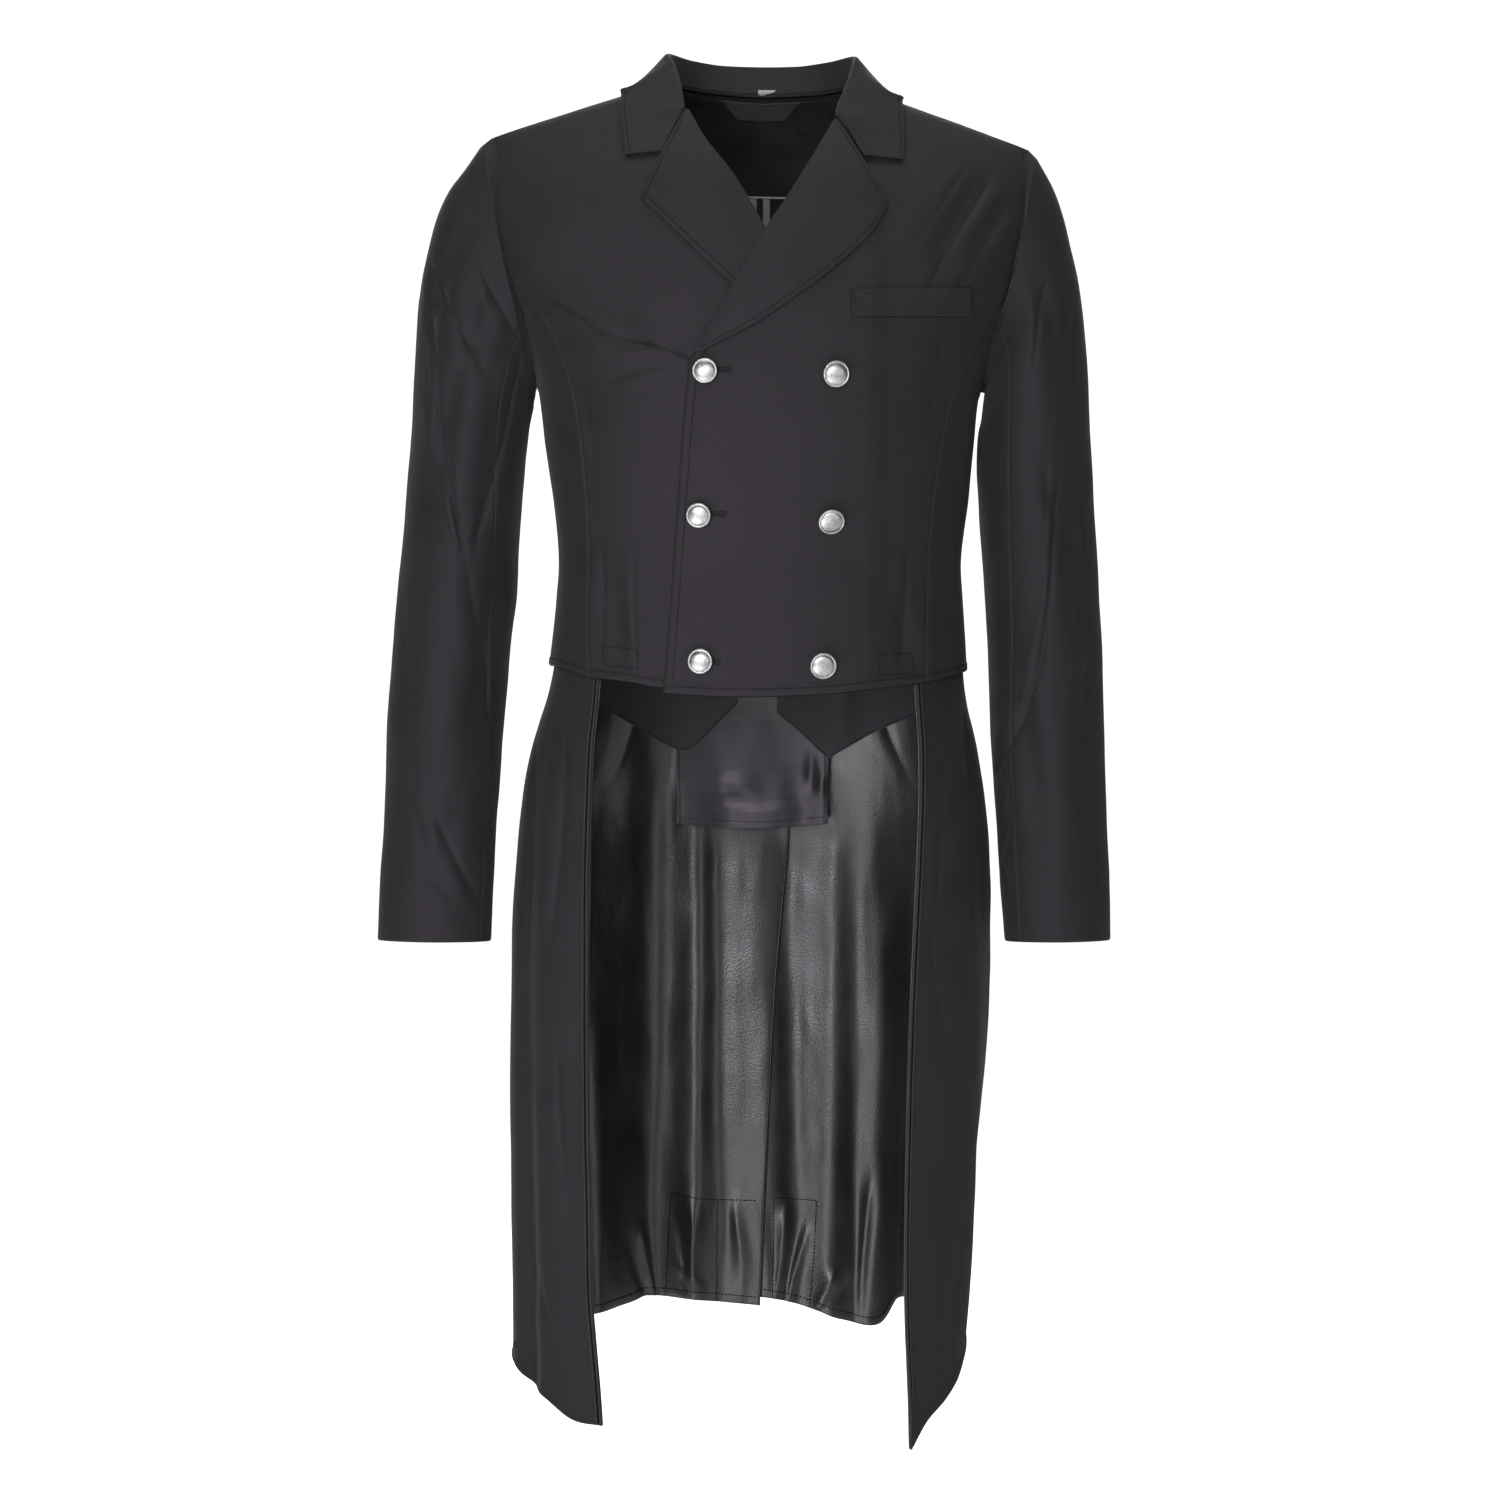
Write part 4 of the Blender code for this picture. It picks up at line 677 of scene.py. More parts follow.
def sleeve_fold(side, point, turn):
    depth = 0.0
    for height, middle, length, width, amount in SLEEVE_FOLDS[side]:
        away = (turn - middle + 180) % 360 - 180
        along = (point.z / MM - height) / length
        drift = away - along * 9
        depth += amount * MM * math.exp(-along**4 * 1.5 - (drift / width) ** 2)
    return depth


def sleeve_seam(side, ring, share):
    """Turn round the sleeve at a share between its back seam and its front seam."""
    armhole_turn, cuff_turn = SLEEVE_FRONT_SEAM[side]
    count = len(SLEEVES[side])
    front_seam = armhole_turn + (cuff_turn - armhole_turn) * smooth((ring / count - 0.35) / 0.6)
    if share <= 1:
        start = SLEEVE_BACK_SEAM - 360
        return start + (front_seam - start) * share
    return front_seam + (SLEEVE_BACK_SEAM - front_seam) * (share - 1)


def tail_depth(side, theta, z):
    """Inward distance of a tail from the coat form, folds and overlap included."""
    depth = TUCK * (1 - smooth((-0.452 - z) / 0.05)) + 0.3 * MM
    x = plain_body(theta, z).x
    if side == "right":
        if math.cos(theta) < 0:
            depth += 4.0 * MM * smooth((x + 0.078) / 0.026)
    flat = smooth((abs(x) - 0.05) / 0.03) if math.cos(theta) < 0 else 1.0
    turn = math.degrees(theta)
    for middle, width, amount, top in TAIL_FOLDS[side]:
        grow = clamp((top - z / MM) / (top + 1000)) ** 0.8
        depth += amount * MM * grow * flat * math.exp(-((turn - middle) / width) ** 2)
    return depth


FINE = 4                       # lines of cloth for each line of the solids
EDGE_SHARES = (0.13, 0.42)     # extra lines close to an outline
SHOULDER_SHARES = (0.012, 0.05, 0.115, 0.21, 0.34, 0.5, 0.72)
EDGE_TURN = 0.75 * MM          # how far the cloth rolls over at an edge
EDGE_WIDE = 1.9 * MM
TURNING = 0.55 * MM            # extra height over folded-in turnings
CREASING = 1.8                 # strength of the creases in the tables
CREASE_CORE = 3.2              # how much narrower than the trough the sharp core is
CREST_PLACE = 1.5              # where the ridge beside a crease lies, in half widths
CREST_SHARE = 0.45             # height of that ridge
BACKED = 0.9 * MM              # cloth of a tail, in front of its lining
COLLAR_MIDDLE = 34 * MM        # half width of the collar's smooth centre back
COLLAR_PASSES = 14
ARMHOLE_HOLD = 14 * MM         # reach of the seam that holds the cloth flat
TURNING_WIDE = 8.5 * MM
FOLDED_TURNING = 6 * MM        # the same on collar and lapels
TURNING_FADE = 3.5 * MM
# Soft unevenness of the cloth: height, size
WAVES = {
    "body": (0.55 * MM, 50 * MM), "lapel": (0.35 * MM, 40 * MM),
    "collar": (0.3 * MM, 45 * MM), "sleeve": (0.8 * MM, 55 * MM),
    "tail": (0.9 * MM, 75 * MM), "tail_streak": (0.5 * MM, 24 * MM),
    "lining": (0.35 * MM, 34 * MM),
}
SHINE = 0.26                   # broad shine of the coat cloth
FLOOR = -1.30
FLOOR_CENTRE = 0.02            # radius of the closed middle of floor and wall
BOWL_FLAT = 6.5
BOWL_BEND = 2.5
CAMERA = (-0.0084, -3.4, -0.504)
LENS = 97.1
WALL_GLOW = 0.97               # makes the backdrop paper white
FLOOR_GLOW = 0.25              # light that the floor throws up
SKY = 0.03                     # even light from all round
# Soft boxes: name, place, target, size, watts
LIGHTS = [
    ("box_left", (-1.1, -3.2, -0.15), (0, 0, -0.5), (0.6, 0.9), 48),
    ("box_high", (-0.3, -3.5, 0.6), (0, 0, -0.4), (1.0, 0.9), 40),
    ("box_side", (1.7, -3.0, -0.3), (0, 0, -0.5), (0.4, 1.6), 14),
    ("box_foot", (-0.65, -1.15, -1.27), (-0.65, -1.05, 0), (0.9, 1.3), 19),
    ("box_top", (0, -0.4, 2.3), (0, 0.2, -0.4), (2.6, 1.8), 50),
    ("box_back", (0, 3.0, 0.9), (0, 0, -0.5), (3.0, 1.6), 50),
]
# Shown face and normals of each panel, kept for its sewing
PANELS = {}


# ---------------------------------------------------------------- grids of cloth

def refined_rows(grid, parts):
    """Adds smooth rows between the rows of a grid of vectors."""
    steps = np.linalg.norm(np.diff(grid[..., :3], axis=0), axis=2).mean(axis=1)
    reach = np.concatenate([[0], np.cumsum(np.maximum(steps, 1e-6))])
    slopes = np.gradient(grid, reach, axis=0)
    lines = []
    for i, step in enumerate(np.diff(reach)):
        slope, next_slope = step * slopes[i], step * slopes[i + 1]
        for k in range(parts):
            lines.append(hermite(grid[i], grid[i + 1], slope, next_slope, k / parts))
    return np.array(lines + [grid[-1]])


def refined(grid, parts=2):
    rows = refined_rows(grid, parts)
    return refined_rows(rows.transpose(1, 0, 2), parts).transpose(1, 0, 2)


def with_edge_rows(grid):
    near = [grid[0] + (grid[1] - grid[0]) * share for share in EDGE_SHARES]
    far = [grid[-1] + (grid[-2] - grid[-1]) * share for share in reversed(EDGE_SHARES)]
    return np.concatenate([grid[:1], near, grid[1:-1], far, grid[-1:]])


def with_edges(grid):
    """Adds lines close to each side of a grid of vectors."""
    rows = with_edge_rows(grid)
    return with_edge_rows(rows.transpose(1, 0, 2)).transpose(1, 0, 2)


def with_shoulder(places):
    """Adds rows of places close under the shoulder seam, where the form rounds off."""
    last, before = places[-1], places[-2]
    rows = []
    for share in reversed(SHOULDER_SHARES):
        row = []
        for p, q in zip(last, before):
            row.append(tuple(a + (b - a) * share for a, b in zip(p, q)))
        rows.append(row)
    return places[:-1] + rows + [last]


def mixed(p, q, share):
    return tuple(a + (b - a) * share for a, b in zip(p, q))


def lengths(grid):
    """Lengths of the steps across a grid of points, and of those up it."""
    return (np.linalg.norm(np.diff(grid, axis=1), axis=2),
            np.linalg.norm(np.diff(grid, axis=0), axis=2))


def reaches(grid):
    """Distances along the cloth from its first column, and from its foot."""
    across, up = lengths(grid)
    rows, cols = grid.shape[:2]
    from_first = np.hstack([np.zeros((rows, 1)), np.cumsum(across, axis=1)])
    from_foot = np.vstack([np.zeros((1, cols)), np.cumsum(up, axis=0)])
    return from_first, from_foot


def edge_distances(points):
    """Distance of each point of a grid to its outline, along the cloth."""
    left, low = reaches(points)
    return np.minimum.reduce([left, left[:, -1:] - left, low, low[-1:, :] - low])


def rolled(distance):
    """How far a side of the cloth turns in near its outline."""
    return EDGE_TURN * np.clip(1 - distance / EDGE_WIDE, 0, 1) ** 1.6


def eased(share):
    share = np.clip(share, 0, 1)
    return share * share * (3 - 2 * share)


def turned_in(distance, wide=TURNING_WIDE):
    """Extra height over the turnings along an outline."""
    return TURNING * eased((wide - distance) / TURNING_FADE)


def crease_depths(points, rows, core=0.6):
    """Inward depth of uneven creases: a soft trough, a sharp core and one side ridge."""
    x, z = points[..., 0] / MM, points[..., 2] / MM
    depth = np.zeros(x.shape)
    for x0, z0, x1, z1, width, amount in rows:
        dx, dz = x1 - x0, z1 - z0
        length = math.hypot(dx, dz)
        along = ((x - x0) * dx + (z - z0) * dz) / length**2
        across = ((x - x0) * dz - (z - z0) * dx) / length
        across = across + 0.16 * width * np.sin(4.1 * along + x0)
        across = across / (width * (0.75 + 0.35 * np.sin(2.3 * along + z1)))
        taper = eased((along + 0.25) / 0.4) * eased((1.25 - along) / 0.4)
        swing = 0.8 + 0.2 * np.sin(5 * along + z0)
        sharp = np.exp(-(CREASE_CORE * across) ** 2)
        trough = (1 - core) * np.exp(-across**2) + core * sharp
        crest = np.exp(-(across - CREST_PLACE) ** 2)
        depth += CREASING * amount * swing * taper * (trough - CREST_SHARE * crest)
    return depth * MM


def off_armholes(points):
    """Share of a crease that is left near an armhole seam, where the cloth is held."""
    seam = np.array([sleeve_point(side, 0, turn) for side in ("right", "left")
                     for turn in range(0, 360, 6)])
    nearest = np.full(points.shape[:2], 1.0)
    for place in seam:
        nearest = np.minimum(nearest, np.linalg.norm(points - place, axis=2))
    return eased(nearest / ARMHOLE_HOLD)


def soft_folds(points, rows):
    """Broad folds that follow keys of (x, z, half width, depth), fading at both ends."""
    x, z = points[..., 0] / MM, points[..., 2] / MM
    depth = np.zeros(x.shape)
    for keys in rows:
        heights = [key[1] for key in keys][::-1]
        middle, wide, amount = (np.interp(z, heights, [key[k] for key in keys][::-1])
                                for k in (0, 2, 3))
        ends = eased((heights[-1] - z) / 40) * eased((z - heights[0] + 30) / 30)
        depth += amount * ends * np.exp(-((x - middle) / wide) ** 2)
    return depth * MM


def undulation(point, height, size):
    """Soft unevenness of cloth, height and size in metres."""
    return height * noise.noise(point / size) + 0.3 * height * noise.noise(point * 2.7 / size)


def panel(name, points, normals, wall=WALL, turning=False):
    """Turns a grid into the two faces of a sheet and keeps its outer face for sewing."""
    points, normals = np.array(points), np.array(normals)
    distance = edge_distances(points)
    out = -rolled(distance)
    if turning:
        out = out + turned_in(distance)
    outer = points + normals * out[..., None]
    inner = points + normals * (rolled(distance) - wall)[..., None]
    PANELS[name] = (outer, normals)
    return outer, inner


def unit(vectors):
    return vectors / np.linalg.norm(vectors, axis=-1)[..., None]


def raw_normals(points):
    """Unit normals of a grid of points, on the side that its lines give."""
    return unit(np.cross(np.gradient(points, axis=1), np.gradient(points, axis=0)))


def normals_of(points, outward):
    """Normals of a grid of points; outward is one direction for each point."""
    normals = raw_normals(points)
    flip = np.sign((normals * outward).sum(axis=2))
    flip[flip == 0] = 1
    return normals * flip[..., None]


def thinned(count, step):
    """Places of the lines that a hidden face keeps."""
    kept = list(range(0, count - 1, step))
    if len(kept) > 2 and count - 1 - kept[-1] < step / 2 + 1:
        kept.pop()
    return kept + [count - 1]


def settled(outer, inner, step):
    """Moves a hidden face clear of the troughs that its coarser lines would miss."""
    rows, cols = inner.shape[:2]
    ways = unit(outer - inner)
    lowest = np.zeros((rows, cols))
    for up in range(-step, step + 1):
        i = np.clip(np.arange(rows) + up, 0, rows - 1)
        for across in range(-step, step + 1):
            j = np.clip(np.arange(cols) + across, 0, cols - 1)
            drop = ((inner[np.ix_(i, j)] - inner) * ways).sum(axis=2)
            lowest = np.minimum(lowest, drop)
    return inner + ways * lowest[..., None]


def rim_faces(ring, kept, half):
    """Triangles between a fine outline and the coarser outline behind it."""
    faces = []
    places = [k for k, index in enumerate(ring) if index in kept]
    for k, start in enumerate(places):
        stop = places[(k + 1) % len(places)]
        if stop <= start:
            stop += len(ring)
        run_of = [ring[i % len(ring)] for i in range(start, stop + 1)]
        a, b = half + kept[run_of[0]], half + kept[run_of[-1]]
        middle = (len(run_of) - 1) // 2
        for i in range(len(run_of) - 1):
            if i == middle:
                faces.append((a, b, run_of[i]))
            faces.append((a if i < middle else b, run_of[i + 1], run_of[i]))
    return faces


def quads_of(index):
    """Four-sided faces between the neighbours of a grid of point numbers."""
    corners = [index[:-1, :-1], index[:-1, 1:], index[1:, 1:], index[1:, :-1]]
    return np.stack(corners, -1).reshape(-1, 4)


def cloth_plan(grid):
    """Distances along the cloth, which serve as its texture coordinates."""
    across, up = reaches(grid)
    middle = grid.shape[1] // 2
    return np.stack([across - across[:, middle:middle + 1], up], -1)


def placed(data):
    """Object that carries a mesh, a light or a camera, in the scene."""
    thing = bpy.data.objects.new(data.name, data)
    bpy.context.scene.collection.objects.link(thing)
    return thing


def finished(mesh, materials):
    """Object of a mesh with its materials, smooth, with its faces turned outwards."""
    for mat in materials:
        mesh.materials.append(mat)
    build = bmesh.new()
    build.from_mesh(mesh)
    bmesh.ops.recalc_face_normals(build, faces=build.faces)
    build.to_mesh(mesh)
    build.free()
    mesh.shade_smooth()
    return placed(mesh)


def set_plan(mesh, plan):
    """Gives each corner of a mesh the texture coordinates of its point."""
    layer = mesh.uv_layers.new(name="cloth")
    corners = np.empty(len(mesh.loops), np.int32)
    mesh.loops.foreach_get("vertex_index", corners)
    layer.data.foreach_set("uv", plan[corners].ravel().astype(np.float32))


def sheet_mesh(name, outer, inner, materials, step=1, settle=True):
    """Closed mesh between two grids; the first material outside, the last inside."""
    rows, cols = outer.shape[:2]
    index = np.arange(rows * cols).reshape(rows, cols)
    pick = np.ix_(thinned(rows, step), thinned(cols, step))
    if step > 1 and settle:
        inner = settled(outer, inner, step)
    half = rows * cols
    back = index[pick]
    kept = {int(number): k for k, number in enumerate(back.ravel())}
    back_index = half + np.arange(back.size).reshape(back.shape)
    ring = np.concatenate([index[0, :-1], index[:-1, -1], index[-1, :0:-1], index[:0:-1, 0]])
    front_quads, back_quads = quads_of(index), quads_of(back_index)[:, ::-1]
    faces = front_quads.tolist() + back_quads.tolist() + rim_faces(ring.tolist(), kept, half)
    points = np.concatenate([outer.reshape(-1, 3), inner[pick].reshape(-1, 3)])
    mesh = bpy.data.meshes.new(name)
    mesh.from_pydata(points.tolist(), [], faces)
    plan = cloth_plan(outer)
    set_plan(mesh, np.concatenate([plan.reshape(-1, 2), plan[pick].reshape(-1, 2)]))
    kinds = np.zeros(len(faces), np.int32)
    hidden = slice(len(front_quads), len(front_quads) + len(back_quads))
    kinds[hidden] = len(materials) - 1
    mesh.polygons.foreach_set("material_index", kinds)
    return finished(mesh, materials)


def cut_size(grid):
    """Flat width, length and area of a grid of cloth, measured along its lines."""
    across, up = lengths(grid)
    width, length = across.sum(axis=1).max(), up.sum(axis=0).max()
    a, b = grid[1:, 1:] - grid[:-1, :-1], grid[1:, :-1] - grid[:-1, 1:]
    area = np.linalg.norm(np.cross(a, b), axis=2).sum() / 2
    return round(float(width), 3), round(float(length), 3), float(area)


def dress(thing, slot, *nodes):
    """Fixes a piece to the coat, in place of its solids."""
    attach(thing, "root")
    if nodes:
        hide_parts(*nodes)
    return thing


# ------------------------------------------------------------------------ panels

def body_sample(theta, z, part):
    """Point of the body cloth, its normal and its unevenness, as one row of numbers."""
    point = body_point(theta, z, 0, part)
    fade = smooth((ridge(point.x) - z) / (25 * MM))
    return (*point, *body_normal(theta, z), undulation(point, *WAVES["body"]), fade)


def body_grid(name, places, part, parts):
    """Faces of a panel of the body, with its creases and turned edges."""
    grid = np.array([[body_sample(theta, z, part) for theta, z in row] for row in places])
    grid = with_edges(refined(grid, parts))
    points, normals = grid[..., :3], unit(grid[..., 3:6])
    front_depth = crease_depths(points, CREASES["body_front"])
    back_depth = crease_depths(points, CREASES["body_back"])
    depth = np.where(normals[..., 1] < 0, front_depth, back_depth)
    depth = depth * grid[..., 7] * np.clip(np.abs(normals[..., 1]) * 4, 0, 1)
    depth = depth * off_armholes(points)
    points = points + normals * (grid[..., 6] - depth)[..., None]
    return panel(name, points, normals, turning=True)


def front_places(side):
    open_rows, roll_rows, neck_rows, cols = 7 * FINE, 9 * FINE, 3 * FINE, 12 * FINE
    seam_rows = 12 * FINE
    first = join(run(OPENING[side], open_rows), run(ROLL_LINE[side], roll_rows),
                 run(NECKLINE[side], neck_rows))
    rows = open_rows + roll_rows + neck_rows
    second = join(princess_run(side, seam_rows),
                  armhole_run(side, PRINCESS_TURN[side], 0.0, rows - seam_rows))
    return coons(run(FRONT_HEM[side], cols), shoulder_run(side, cols), first, second)


def side_places(side):
    rows, cols, bend = 12 * FINE, 9 * FINE, 3 * FINE
    hem = run(SIDE_HEM[side], bend)
    foot_x, foot_z = SIDE_BACK[0]
    start, end = hem[-1], (turn_at(SIGN[side] * foot_x, foot_z, True), foot_z * MM)
    steps = cols - bend
    round_back = [mixed(start, end, i / steps) for i in range(steps + 1)]
    top = armhole_run(side, PRINCESS_TURN[side], BACK_TURN, cols)
    return coons(join(hem, round_back), top, princess_run(side, rows),
                 side_back_run(side, rows))


def back_places(side):
    seam_rows, arm_rows, neck_cols, shoulder_cols = 12 * FINE, 7 * FINE, 4 * FINE, 6 * FINE
    rows, cols = seam_rows + arm_rows, neck_cols + shoulder_cols
    middle = []
    for i in range(rows + 1):
        fall = 1 - (1 - i / rows) ** BACK_CROWDING
        middle.append((SIGN[side] * math.pi, (BACK_HEM + (BACK_NECK - BACK_HEM) * fall) * MM))
    neck = run(mirrored(side, BACK_NECK_LINE), neck_cols, back=True)
    shoulder = [(math.copysign(math.pi, t) - t, z) for t, z in shoulder_run(side, shoulder_cols)]
    neck[-1] = shoulder[0]
    second = join(side_back_run(side, seam_rows),
                  armhole_run(side, BACK_TURN, 360.0, arm_rows))
    hem = run(mirrored(side, BACK_HEM_LINE), cols, back=True)
    return coons(hem, join(neck, shoulder), middle, second)


def edged_shares(count, near, far):
    """Even shares of a length, with extra ones close to both ends."""
    shares = [0, near / count, far / count] + [i / count for i in range(1, count)]
    return shares + [1 - far / count, 1 - near / count, 1]


def lapel_reach(side, share, root, normal, edge):
    """Direction in which a lapel's roll stands out, away from the lapel's outer edge."""
    ahead = spline(LAPEL_ROLL[side], min(share + 0.02, 1))
    behind = spline(LAPEL_ROLL[side], max(share - 0.02, 0))
    along = (body_point(turn_at(*ahead), ahead[1] * MM, 0, side)
             - body_point(turn_at(*behind), behind[1] * MM, 0, side)).normalized()
    reach = normal.cross(along).normalized()
    toward = body_point(turn_at(*edge), edge[1] * MM, 0, side) - root
    return -reach if reach.dot(toward) > 0 else reach


def lapel_line(side, share):
    """Points from a lapel's root round the roll to its outer edge."""
    roll_x, roll_z = spline(LAPEL_ROLL[side], share)
    edge_x, edge_z = spline(LAPEL_EDGE[side], share)
    place = (turn_at(roll_x, roll_z), roll_z * MM)
    root, normal = body_point(*place, -WALL / 2, side), body_normal(*place)
    reach = lapel_reach(side, share, root, normal, (edge_x, edge_z))
    line = []
    for turn in LAPEL_TURNS:
        angle = math.radians(turn)
        line.append(root + reach * (ROLL * math.sin(angle) + ROLL_OUT)
                    + normal * ROLL * (1 - math.cos(angle)))
    swell = (0.5 + 2.2 * math.sin(math.pi * share) ** 0.8) * MM
    if side == "right":
        swell *= smooth((share - 0.12) / 0.3)
    for f in LAPEL_FLAT:
        x, z = roll_x + (edge_x - roll_x) * f, roll_z + (edge_z - roll_z) * f
        rise = 2 * ROLL - WALL / 2 + swell * math.sin(math.pi * f ** 0.8)
        point = body_point(turn_at(x, z), z * MM, rise, side)
        line.append(point + body_normal(turn_at(x, z), z * MM)
                    * undulation(point, *WAVES["lapel"]))
    return line


def lapel_grid(side):
    """Faces of the front edge that is turned back over the chest."""
    points = np.array([lapel_line(side, share) for share in edged_shares(10 * FINE, 0.12, 0.45)])
    return both_faces("lapel_" + side, points, len(LAPEL_TURNS) + 8, np.array((0, -1, 0)))


def both_faces(name, points, known, direction):
    """Faces of a folded sheet from its middle; its normals run on from a known column."""
    normals = raw_normals(points)
    if (normals[:, known] * direction).sum() < 0:
        normals = -normals
    distance = edge_distances(points)
    out = WALL / 2 - rolled(distance)
    inner = points - normals * out[..., None]
    out = out + turned_in(distance, FOLDED_TURNING) * 0.6
    outer = points + normals * out[..., None]
    PANELS[name] = (outer, normals)
    return outer, inner


def collar_point(stand, fold, edge, along, folded, station):
    """Point across the collar: 0 stand edge, 2 to 5 the fold, 10 outer edge."""
    to_stand = stand - fold
    to_edge = edge - fold
    to_stand -= along * to_stand.dot(along)
    to_edge -= along * to_edge.dot(along)
    top = -(to_stand.normalized() + to_edge.normalized()).normalized()
    inside = (to_stand - top * to_stand.dot(top)).normalized()
    bend = COLLAR_BEND * MM
    centre = fold - top * bend

    def bent(turn):
        angle = math.radians(turn)
        return centre + (top * math.cos(angle) + inside * math.sin(angle)) * bend
    if station <= 2:
        point = stand.lerp(bent(78), station / 2)
    elif station <= 5:
        point = bent(78 - 52 * (station - 2))
    else:
        f = np.interp(station, (5, 6, 7, 8, 9, 10), (0, 0.14, 0.36, 0.6, 0.8, 1.0))
        point = bent(-78).lerp(edge, f) + top * (1.5 * MM * math.sin(math.pi * f))
    f = station / 10
    flat = stand.lerp(fold, 0.3).lerp(edge, 0.15 * f + 0.85 * f * f)
    point = flat.lerp(point, folded)
    point += (point - Vector(NECK_MIDDLE)).normalized() * undulation(point, *WAVES["collar"])
    return off_body(point, COLLAR_GAP) if station > 1.6 else point


def collar_lines():
    """Points across the collar, for shares of its length from end to end."""
    rows = []
    for face, stand, level, fold, edge_face, edge, folded in COLLAR:
        stand = form_place(face, *stand, level * MM)
        edge = form_place(edge_face, *edge, COLLAR_GAP)
        rows.append((*stand, *(Vector(fold) * MM), *edge, folded))
    table = [smooth_rows(rows, share) for share in edged_shares(28 * FINE, 0.15, 0.5)]
    lines = []
    for i, row in enumerate(table):
        before, after = table[max(i - 1, 0)], table[min(i + 1, len(table) - 1)]
        along = (Vector(after[3:6]) - Vector(before[3:6])).normalized()
        ends = [Vector(row[k:k + 3]) for k in (0, 3, 6)]
        lines.append([collar_point(*ends, along, clamp(row[9]), s) for s in COLLAR_STATIONS])
    return np.array(lines)


def collar_grid():
    """Faces of the collar, with its centre back smoothed."""
    points = collar_lines()
    near_middle = eased((COLLAR_MIDDLE - np.abs(points[:, 8:9, 0])) / (10 * MM))[..., None]
    for _ in range(COLLAR_PASSES):
        softer = points.copy()
        softer[1:-1] = (points[:-2] + points[1:-1] + points[2:]) / 3
        points = points + (softer - points) * near_middle
    known, middle = len(COLLAR_STATIONS) - 12, len(points) // 2
    outward = points[middle, known] - np.array(UNDER_COLLAR)
    direction = raw_normals(points)[:, known]
    if (direction[middle] * outward).sum() < 0:
        direction = -direction
    return both_faces("collar", points, known, direction)


def sleeve_grids(side, first, cols):
    """Topsleeve from share 0, undersleeve from share 1, with creases and turned edges."""
    rings = 18 * FINE
    grid, centres = [], []
    for i in range(rings + 1):
        ring = i * len(SLEEVES[side]) / rings
        outer, under = sleeve_point(side, ring, 0), sleeve_point(side, ring, 180)
        centre = (outer + under) / 2
        line = []
        for j in range(-1, cols + 2):
            turn = sleeve_seam(side, ring, first + j / cols)
            point = sleeve_point(side, ring, turn)
            amount = sleeve_fold(side, point, turn) * clamp((ring - 1) / 2)
            point += (centre - point).normalized() * amount
            line.append((*point, undulation(point, *WAVES["sleeve"]), clamp(ring / 2.5)))
        middle = centre.copy()
        middle.y = (sleeve_point(side, ring, 90).y + sleeve_point(side, ring, 270).y) / 2
        grid.append(line)
        centres.append([middle] * (cols + 3))
    grid = np.array(grid)
    normals = normals_of(grid[..., :3], grid[..., :3] - np.array(centres))
    grid = np.concatenate([grid, normals], axis=2)[:, 1:-1]
    grid = with_edges(refined(grid, 3))
    points, normals = grid[..., :3], unit(grid[..., 5:8])
    depth = np.where(normals[..., 1] < 0, crease_depths(points, CREASES["sleeve_front"]),
                     crease_depths(points, CREASES["sleeve_back"]))
    depth = depth * eased(np.abs(normals[..., 1]) / 0.5) - grid[..., 3]
    return points - normals * (depth * grid[..., 4])[..., None], normals


def past_middle(side, places):
    """Places whose turns keep the sign of their side beyond the middle of the back."""
    sign = SIGN[side]
    return [(t if t * sign > 0 else t + sign * 2 * math.pi, z) for t, z in places]


def tail_places(side):
    rows, cols = 14 * FINE, 20 * FINE
    edge = run(TAIL_EDGE[side], rows)
    hem = []
    for j in range(cols + 1):
        x, z, behind = spline(TAIL_HEM[side], j / cols)
        hem.append((turn_at(x, z, behind > 0.5), z * MM))
    vent = past_middle(side, run(TAIL_VENT[side], rows, back=True))
    hem = [edge[-1]] + past_middle(side, hem)[1:-1] + [vent[-1]]
    top = []
    for j in range(cols + 1):
        share = j / cols
        theta = edge[0][0] + (vent[0][0] - edge[0][0]) * share
        rise = edge[0][1] + (vent[0][1] - edge[0][1]) * smooth(share / 0.45)
        top.append((theta, rise))
    return coons(hem, top, edge[::-1], vent[::-1])


def tail_sample(side, theta, z):
    """Point of a tail, its normal, its unevenness and how far it hangs free."""
    normal = body_normal(theta, z)
    point = plain_body(theta, z) - normal * tail_depth(side, theta, z)
    low = smooth((-0.43 - z) / 0.05)
    tall = Vector((point.x, point.y, point.z * 0.35))
    wave = undulation(point, *WAVES["tail"]) + undulation(tall, *WAVES["tail_streak"])
    return (*point, *normal, wave * low, low)


def tail_grids(side):
    """Faces of a tail's cloth and of its lining, which share one form."""
    grid = np.array([[tail_sample(side, theta, z) for theta, z in row]
                     for row in tail_places(side)])
    grid = with_edges(refined(grid, 2))
    points, normals = grid[..., :3], unit(grid[..., 3:6])
    rear = crease_depths(points, CREASES["tail_back"])
    rear = rear + crease_depths(points, LINING_CREASES, 0.3)
    rear = rear + soft_folds(points, LINING_FOLDS)
    depth = np.where(normals[..., 1] > 0, rear, crease_depths(points, CREASES["tail_front"]))
    depth = depth * np.clip(np.abs(normals[..., 1]) * 3, 0, 1) * grid[..., 7] - grid[..., 6]
    points = points - normals * depth[..., None]
    outer, _ = panel("tail_" + side, points, normals, turning=True)
    under = points - normals * (WALL + LINING_GAP)
    roll = rolled(edge_distances(under))[..., None]
    near, far = under - normals * (SKIN - roll * 0.5), under - normals * roll * 0.3
    PANELS["tail_lining_" + side] = (near, -normals)
    return (outer, points - normals * BACKED), (near, far)


